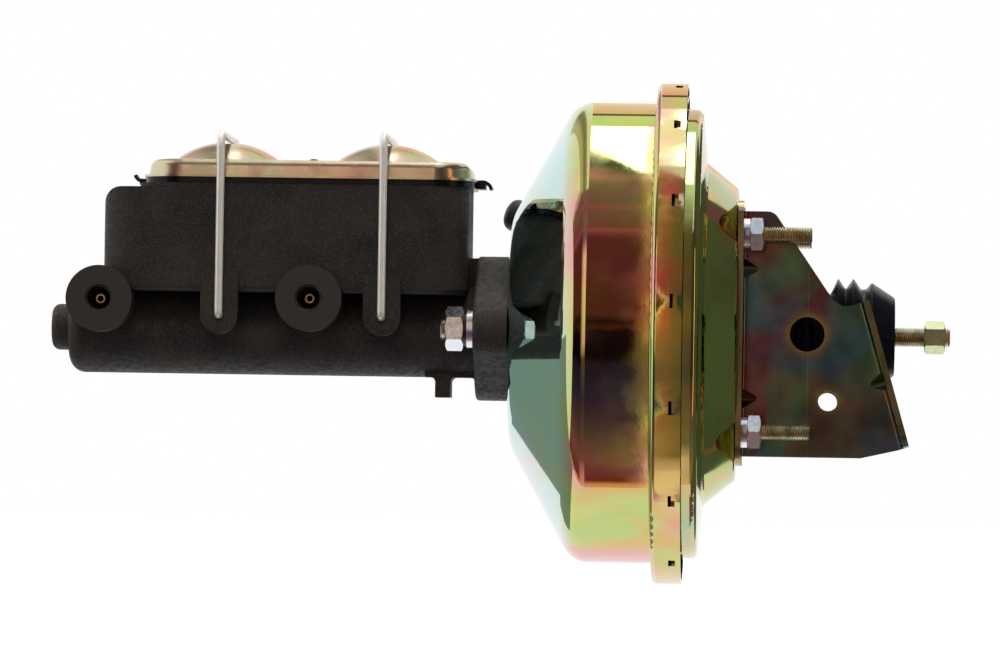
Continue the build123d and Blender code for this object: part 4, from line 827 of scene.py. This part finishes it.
rubber = simple_finish("black_rubber", RUBBER, 40.0, (0.20, 0.30), 0.00006, Specular_IOR_Level=0.2)
plastic = simple_finish("black_plastic", PLASTIC, 60.0, (0.34, 0.46), 0.0001)
wire_steel = simple_finish("spring_wire", SPRING_STEEL, 90.0, (0.3, 0.42), 0.00005, Metallic=1.0)
aluminium = simple_finish("turned_aluminium", ALUMINIUM, 50.0, (0.25, 0.35), 0.00004, Metallic=1.0)
brass = simple_finish("turned_brass", BRASS, 120.0, (0.3, 0.4), 0.00003, Metallic=1.0)
bail_zinc = simple_finish("clear_zinc_wire", BAIL_TINTS, 80.0, (0.16, 0.24), 0.00003, Metallic=0.4)
foam = simple_finish("filter_foam", FOAM, 900.0, (0.85, 0.95), 0.0006)
# The lock washers' finish paints the shade between the nut and the washer into their colour.
shade_darkened_washer = simple_finish("lock_washer_painted_shade", SHADED_WASHER_TINTS, 90.0, (0.3, 0.42), 0.00005, Metallic=1.0)
print("materials:", [material.name for material in bpy.data.materials])

# %% [markdown]
# Each CAD part that shows its own mesh gets the finish of its real counterpart.

# %% Dress the CAD parts
DRESS = {
    shell_zinc: ["front_shell"],
    rear_zinc: [
        "rear_shell",
        "stud_plate",
        "diaphragm_plate",
        "output_rod",
        "plunger_key",
        "poppet_retainer",
    ],
    bracket_zinc: ["bracket_near", "bracket_far"],
    lid_zinc: ["cover"],
    thread_zinc: ["push_rod", "rear_studs", "mc_studs"],
    nut_zinc: ["rear_washers", "rear_nuts", "mc_nuts", "mc_washers"],
    bail_zinc: ["front_bail", "rear_bail"],
    jam_zinc: ["jam_nut"],
    # The lock washers take the darkened finish, which is painted shade.
    shade_darkened_washer: ["mc_lock_washers"],
    sand_iron: ["mc_body"],
    rubber: [
        "boot",
        "cover_gasket",
        "valve_grommet",
        "front_seal",
        "neck_seal",
        "diaphragm",
        "reaction_disc",
        "poppet_valve",
        "primary_cups",
        "secondary_cups",
    ],
    plastic: ["check_valve", "valve_body", "neck_bearing"],
    wire_steel: [
        "return_spring",
        "poppet_spring",
        "rod_spring",
        "primary_spring",
        "secondary_spring",
        "snap_ring",
    ],
    aluminium: ["primary_piston", "secondary_piston", "valve_plunger"],
    brass: ["tube_seats"],
    foam: ["air_filter", "silencer"],
}
for material, names in DRESS.items():
    for name in names:
        slots = nodes[name].data.materials
        slots.clear()
        slots.append(material)
print("dressed:", sum(len(names) for names in DRESS.values()), "of", len(nodes))

# %% [markdown]
# ## Screw threads
#
# A thread is one zigzag line that is turned once round the bar while it moves on by one pitch. The spin
# operator does exactly that when it is given a step along the axis. Two flat cuts then trim the ends,
# and the new rims are filled, so each bar is a closed body that stands for its plain CAD cylinder. The
# profile is a place and a depth in pitches.

# %% Thread tools
THREAD_DEPTH = 0.58
THREAD_PROFILE = ((0, 0.0), (0.12, 0.0), (0.5, THREAD_DEPTH), (0.62, THREAD_DEPTH))
SPARE_TURNS = 3
THREAD_WELD = 1e-4
LATHE_WELD = 1e-6


def threaded_bar(bm, start_x, end_x, radius, pitch, chamfer, steps=40):
    """A threaded bar along X, trimmed flat at both ends and chamfered at the high one."""
    chain = []
    for k in range(int((end_x - start_x) / pitch) + SPARE_TURNS):
        x = start_x + (k - SPARE_TURNS / 2) * pitch
        for shift, depth in THREAD_PROFILE:
            chain.append(bm.verts.new((x + shift * pitch, 0, radius - depth * pitch)))
    edges = [bm.edges.new(pair) for pair in zip(chain, chain[1:])]
    bmesh.ops.spin(
        bm, geom=[*chain, *edges], axis=(1, 0, 0), dvec=(pitch / steps, 0, 0), angle=2 * pi, steps=steps
    )
    bmesh.ops.remove_doubles(bm, verts=bm.verts, dist=radius * THREAD_WELD)
    for x, way in ((start_x, -1), (end_x, 1)):
        bmesh.ops.bisect_plane(
            bm,
            geom=[*bm.verts, *bm.edges, *bm.faces],
            plane_co=(x, 0, 0),
            plane_no=(way, 0, 0),
            clear_outer=True,
        )
    bmesh.ops.holes_fill(bm, edges=[edge for edge in bm.edges if edge.is_boundary], sides=0)
    for vert in bm.verts:
        room = radius - chamfer + (end_x - vert.co.x)
        across = Vector((0, vert.co.y, vert.co.z))
        if across.length > room:
            across *= room / across.length
            vert.co.y, vert.co.z = across.y, across.z


def lathe(bm, outline, steps=64):
    """Spin a line of points, each x and radius, once round the X axis."""
    chain = [bm.verts.new((x, 0, radius)) for x, radius in outline]
    edges = [bm.edges.new(pair) for pair in zip(chain, chain[1:])]
    bmesh.ops.spin(bm, geom=[*chain, *edges], axis=(1, 0, 0), angle=2 * pi, steps=steps, use_merge=True)
    bmesh.ops.remove_doubles(bm, verts=bm.verts, dist=LATHE_WELD)


def copied_to(bm, places):
    """Repeat everything in a bmesh at the places, each y and z, instead of on the axis."""
    first = [*bm.verts, *bm.edges, *bm.faces]
    for y, z in places[1:]:
        copy = bmesh.ops.duplicate(bm, geom=first)["geom"]
        moved = [part for part in copy if isinstance(part, bmesh.types.BMVert)]
        bmesh.ops.translate(bm, vec=(0, y, z), verts=moved)
    home = [part for part in first if isinstance(part, bmesh.types.BMVert)]
    bmesh.ops.translate(bm, vec=(0, *places[0]), verts=home)


# %% [markdown]
# ## Push rod and studs
#
# The push rod ends in a ball inside the booster, so its hidden half is a plain turned shape with the
# CAD sizes: ball, neck, rod and the collar that its spring presses on. The outer half carries the thread.

# %% Push rod
ROD_R = 4.76 * MM
ROD_BALL_X = -2 * MM
ROD_BALL_R = 4.6 * MM
ROD_BALL_ARC = range(0, 133, 12)
ROD_NECK_R = 3.4 * MM
ROD_NECK_END = 10 * MM
ROD_COLLAR_R = 12 * MM
ROD_COLLAR_START = 42 * MM
ROD_COLLAR_END = 44 * MM
ROD_THREAD_START = 50 * MM
ROD_END = 105.8 * MM
ROD_PITCH = 1.06 * MM
ROD_CHAMFER = 0.8 * MM

ball = [
    (ROD_BALL_X - ROD_BALL_R * cos(radians(turn)), ROD_BALL_R * sin(radians(turn)))
    for turn in ROD_BALL_ARC
]
shank = [
    (ROD_NECK_END, ROD_NECK_R),
    (ROD_NECK_END, ROD_R),
    (ROD_COLLAR_START, ROD_R),
    (ROD_COLLAR_START, ROD_COLLAR_R),
    (ROD_COLLAR_END, ROD_COLLAR_R),
    (ROD_COLLAR_END, ROD_R),
    (ROD_THREAD_START, ROD_R),
    (ROD_THREAD_START, 0),
]
bm = bmesh.new()
threaded_bar(bm, ROD_THREAD_START, ROD_END, ROD_R, ROD_PITCH, ROD_CHAMFER)
lathe(bm, ball + shank)
rod = piece("push_rod_threaded", bm, "input_rod", thread_zinc)
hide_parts("push_rod")

# %% [markdown]
# The studs are pressed in from inside the shells, so each has a flat head there and its thread outside.
# Four hold the brackets and point back. Two hold the master cylinder and point forward, so their thread
# is made along +X and then turned round.

# %% Rear studs and master cylinder studs
REAR_STUDS = [(y * MM, z * MM) for y in (-42.5, 42.5) for z in (-48.65, 48.65)]
REAR_STUD_R = 4.0 * MM
REAR_HEAD_R = 6.3 * MM
REAR_HEAD = (-4.82 * MM, -1.82 * MM)
REAR_THREAD = (6 * MM, 36.5 * MM)
REAR_PITCH = 1.25 * MM
REAR_CHAMFER = 0.6 * MM
FRONT_STUDS = [(y * MM, 0) for y in (-42.9, 42.9)]
FRONT_STUD_R = 5.55 * MM
FRONT_HEAD_R = 8.5 * MM
FRONT_HEAD = 3.5 * MM
FRONT_THREAD = 16 * MM
FRONT_PITCH = 1.5 * MM
FRONT_CHAMFER = 0.8 * MM


def headed(head, head_r, stud_r, shank_end):
    """The turned line of a stud, from its head to the place where its thread starts."""
    start, back = head
    return [(start, 0), (start, head_r), (back, head_r), (back, stud_r), (shank_end, stud_r), (shank_end, 0)]


def stud_set(name, places, outline, thread, radius, pitch, chamfer, turn=0.0):
    """Headed studs with a thread on the outer end, as one piece on the housing."""
    bm = bmesh.new()
    threaded_bar(bm, *thread, radius, pitch, chamfer, steps=32)
    bmesh.ops.rotate(bm, matrix=Matrix.Rotation(turn, 3, "Z"), verts=bm.verts)
    lathe(bm, outline, steps=32)
    copied_to(bm, places)
    return piece(name, bm, "housing", thread_zinc)


rear_line = headed(REAR_HEAD, REAR_HEAD_R, REAR_STUD_R, REAR_THREAD[0])
rear_studs = stud_set(
    "rear_studs_threaded", REAR_STUDS, rear_line, REAR_THREAD, REAR_STUD_R, REAR_PITCH, REAR_CHAMFER
)
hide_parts("rear_studs")

front_low, front_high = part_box("mc_studs")
thread_x = front_low.x + FRONT_THREAD
front_line = headed((front_high.x, front_high.x - FRONT_HEAD), FRONT_HEAD_R, FRONT_STUD_R, thread_x)
mc_studs = stud_set(
    "mc_studs_threaded",
    FRONT_STUDS,
    front_line,
    (-thread_x, -front_low.x),
    FRONT_STUD_R,
    FRONT_PITCH,
    FRONT_CHAMFER,
    turn=pi,
)
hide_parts("mc_studs")

# %% [markdown]
# ## Nuts
#
# A real nut is a hexagon bar whose ends are turned to a cone, which leaves a curved line on each flat.
# Here a turned ring with coned ends and a bore is kept only where it lies inside a hexagon prism.

# %% Nuts
NUT_CONE = radians(30)
NUT_FACE_SHARE = 0.97
NUT_RING_SHARE = 1.02
BORE_CHAMFER = 0.5 * MM


def chamfered_nuts(name, node, places, flats, hole_r, turn, body, material=nut_zinc):
    """Hexagon nuts with coned ends in place of a CAD node's plain prisms."""
    low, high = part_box(node)
    corner_r = flats / sqrt(3)
    face_r = flats / 2 * NUT_FACE_SHARE
    ring_r = corner_r * NUT_RING_SHARE
    mouth_r = hole_r + BORE_CHAMFER
    drop = (ring_r - face_r) * tan(NUT_CONE)
    ring = bmesh.new()
    rim = [
        (low.x, mouth_r),
        (low.x, face_r),
        (low.x + drop, ring_r),
        (high.x - drop, ring_r),
        (high.x, face_r),
        (high.x, mouth_r),
        (high.x - BORE_CHAMFER, hole_r),
        (low.x + BORE_CHAMFER, hole_r),
        (low.x, mouth_r),
    ]
    lathe(ring, rim, steps=96)
    prism = bmesh.new()
    bmesh.ops.create_cone(
        prism,
        cap_ends=True,
        segments=6,
        radius1=corner_r,
        radius2=corner_r,
        depth=2 * (high.x - low.x),
        matrix=Matrix.Translation(((low.x + high.x) / 2, 0, 0))
        @ Matrix.Rotation(turn, 4, "X")
        @ Matrix.Rotation(pi / 2, 4, "Y"),
    )
    cutter = piece(name + "_prism", prism, None, nut_zinc)
    blank = piece(name + "_ring", ring, None, nut_zinc)
    trim = blank.modifiers.new("hexagon", "BOOLEAN")
    trim.operation = "INTERSECT"
    trim.solver = "EXACT"
    trim.object = cutter
    bpy.context.view_layer.update()
    shaped = blank.evaluated_get(bpy.context.evaluated_depsgraph_get())
    bm = bmesh.new()
    bm.from_mesh(shaped.to_mesh())
    for helper in (cutter, blank):
        bpy.data.objects.remove(helper)
    copied_to(bm, places)
    made = piece(name, bm, body, material, sharp=radians(18))
    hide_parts(node)


chamfered_nuts(
    "rear_nuts_coned", "rear_nuts", REAR_STUDS, flats=16 * MM, hole_r=4.02 * MM, turn=0, body="housing"
)
chamfered_nuts(
    "mc_nuts_coned", "mc_nuts", FRONT_STUDS, flats=19 * MM, hole_r=5.57 * MM, turn=pi / 2, body="housing"
)
chamfered_nuts(
    "jam_nut_coned",
    "jam_nut",
    [(0, 0)],
    flats=14.2 * MM,
    hole_r=4.78 * MM,
    turn=pi / 2,
    body="input_rod",
    material=jam_zinc,
)

# %% [markdown]
# ## Boot
#
# The rubber boot is moulded in one piece: a cuff on the booster's neck, three small bellows, two large
# ones and a stiff cap on the valve tube. The line of its outside and its inside gets round corners and
# is turned round the axis. On the car its bellows close when the pedal is pressed.

# %% Boot, with its places on X and radii in millimetres
CUFF_START = 4.0
CUFF_END = 12.2
CUFF_R = 26.5
NECK_R = 24.52
FIRST_PEAK_X = 27.0
FOLD_PITCH = 7.6
SMALL_FOLD = (24.4, 20.6)
LARGE_FOLD = (29.0, 23.5)
PEAK_WALL = 1.4
VALLEY_WALL = 1.3
CAP = [
    (63.8, 23.6),
    (66.5, 27.0),
    (77.3, 20.0),
    (78.2, 19.1),
    (78.2, 8.5),
    (76.0, 8.5),
    (76.0, 18.03),
    (62.5, 18.03),
    (62.5, 22.2),
]
CORNER_R = 0.9


def rounded(points, radius, steps=5):
    """A line of points with each inner corner replaced by a short curve."""
    line = [Vector(points[0])]
    for before, corner, after in zip(points, points[1:], points[2:]):
        before, corner, after = Vector(before), Vector(corner), Vector(after)
        cut = min(radius, (corner - before).length / 2, (after - corner).length / 2)
        start = corner + (before - corner).normalized() * cut
        end = corner + (after - corner).normalized() * cut
        for k in range(steps + 1):
            t = k / steps
            line.append(start * (1 - t) ** 2 + corner * 2 * t * (1 - t) + end * t**2)
    line.append(Vector(points[-1]))
    return line


first_valley_x = FIRST_PEAK_X - FOLD_PITCH / 2
outside = [(CUFF_START, NECK_R), (CUFF_START, CUFF_R), (CUFF_END, CUFF_R), (first_valley_x, SMALL_FOLD[1])]
inside = [(CUFF_START, NECK_R), (CUFF_END, NECK_R), (first_valley_x, SMALL_FOLD[1] - VALLEY_WALL)]
for k, (peak_r, valley_r) in enumerate([SMALL_FOLD] * 3 + [LARGE_FOLD] * 2):
    x = FIRST_PEAK_X + FOLD_PITCH * k
    outside += [(x, peak_r), (x + FOLD_PITCH / 2, valley_r)]
    inside += [(x, peak_r - PEAK_WALL), (x + FOLD_PITCH / 2, valley_r - VALLEY_WALL)]
corners = outside + CAP + inside[::-1]
outline = rounded([(x * MM, radius * MM) for x, radius in corners], CORNER_R * MM)
bm = bmesh.new()
lathe(bm, [tuple(point) for point in outline], steps=128)
boot = piece("boot_moulded", bm, None, rubber, sharp=radians(50))
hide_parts("boot")
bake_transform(boot)

# %% [markdown]
# ## Coil springs
#
# Four coil springs inside are pressed together when the pedal goes down. A coil is a small circle that is
# spun round the axis while it moves on.

# %% Springs
STEPS_A_TURN = 40


def pressed_spring(node, coil_r, wire_r, turns, body):
    """A coil in place of a CAD spring."""
    low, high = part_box(node)
    bm = bmesh.new()
    bmesh.ops.create_circle(bm, segments=12, radius=wire_r, matrix=Matrix.Rotation(pi / 2, 4, "X"))
    bmesh.ops.translate(bm, vec=(low.x + wire_r, 0, coil_r), verts=bm.verts)
    length = high.x - low.x
    pitch = (length - 2 * wire_r) / turns
    bmesh.ops.spin(
        bm,
        geom=[*bm.verts, *bm.edges],
        axis=(1, 0, 0),
        dvec=(pitch / STEPS_A_TURN, 0, 0),
        angle=2 * pi * turns,
        steps=turns * STEPS_A_TURN,
    )
    bmesh.ops.holes_fill(bm, edges=[edge for edge in bm.edges if edge.is_boundary], sides=0)
    made = piece(node + "_coil", bm, body, wire_steel, sharp=radians(60))
    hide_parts(node)
    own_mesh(made)


# Each has a coil and a wire radius, turns and the body that it follows
pressed_spring("return_spring", 29 * MM, 1.75 * MM, 6, "housing")
pressed_spring("primary_spring", 9 * MM, 0.9 * MM, 5, "primary_piston")
pressed_spring("secondary_spring", 9 * MM, 0.9 * MM, 5, "housing")
pressed_spring("rod_spring", 10.4 * MM, 0.6 * MM, 4, "power_piston")

# %% [markdown]
# ## Gasket tabs
#
# The gasket is pulled off by small tabs that curl out from under the lid at both ends. Each is a strip:
# a line of points is drawn out sideways and then given its thickness.

# %% Gasket tabs
FRONT_CURL = [(1, 0), (-3, -0.3), (-5, 1.0), (-5.8, 2.6)]
REAR_CURL = [(-1, 0), (3, 0.4), (5.2, -0.8), (6.0, -3.0)]
TAB_RISE = 11.6 * MM
TAB_BEND = 1.6 * MM
TAB_WIDTH = 12 * MM
TAB_THICKNESS = 1.7 * MM


def strip(name, points, width, thickness, body, material):
    """A bent strip that runs along the points, each x and z, and is centred on Y."""
    bm = bmesh.new()
    line = [bm.verts.new((point[0], -width / 2, point[1])) for point in points]
    edges = [bm.edges.new(pair) for pair in zip(line, line[1:])]
    drawn = bmesh.ops.extrude_edge_only(bm, edges=edges)["geom"]
    moved = [part for part in drawn if isinstance(part, bmesh.types.BMVert)]
    bmesh.ops.translate(bm, vec=(0, width, 0), verts=moved)
    bmesh.ops.solidify(bm, geom=bm.faces[:], thickness=thickness)
    piece(name, bm, body, material, sharp=radians(50))


lid_low, lid_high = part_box("cover")
tab_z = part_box("cover_gasket")[0].z + TAB_RISE
ends = (("gasket_tab_front", lid_low.x, FRONT_CURL), ("gasket_tab_rear", lid_high.x, REAR_CURL))
for name, end_x, curl in ends:
    line = rounded([(end_x + x * MM, tab_z + z * MM) for x, z in curl], TAB_BEND)
    strip(name, line, TAB_WIDTH, TAB_THICKNESS, "housing", rubber)
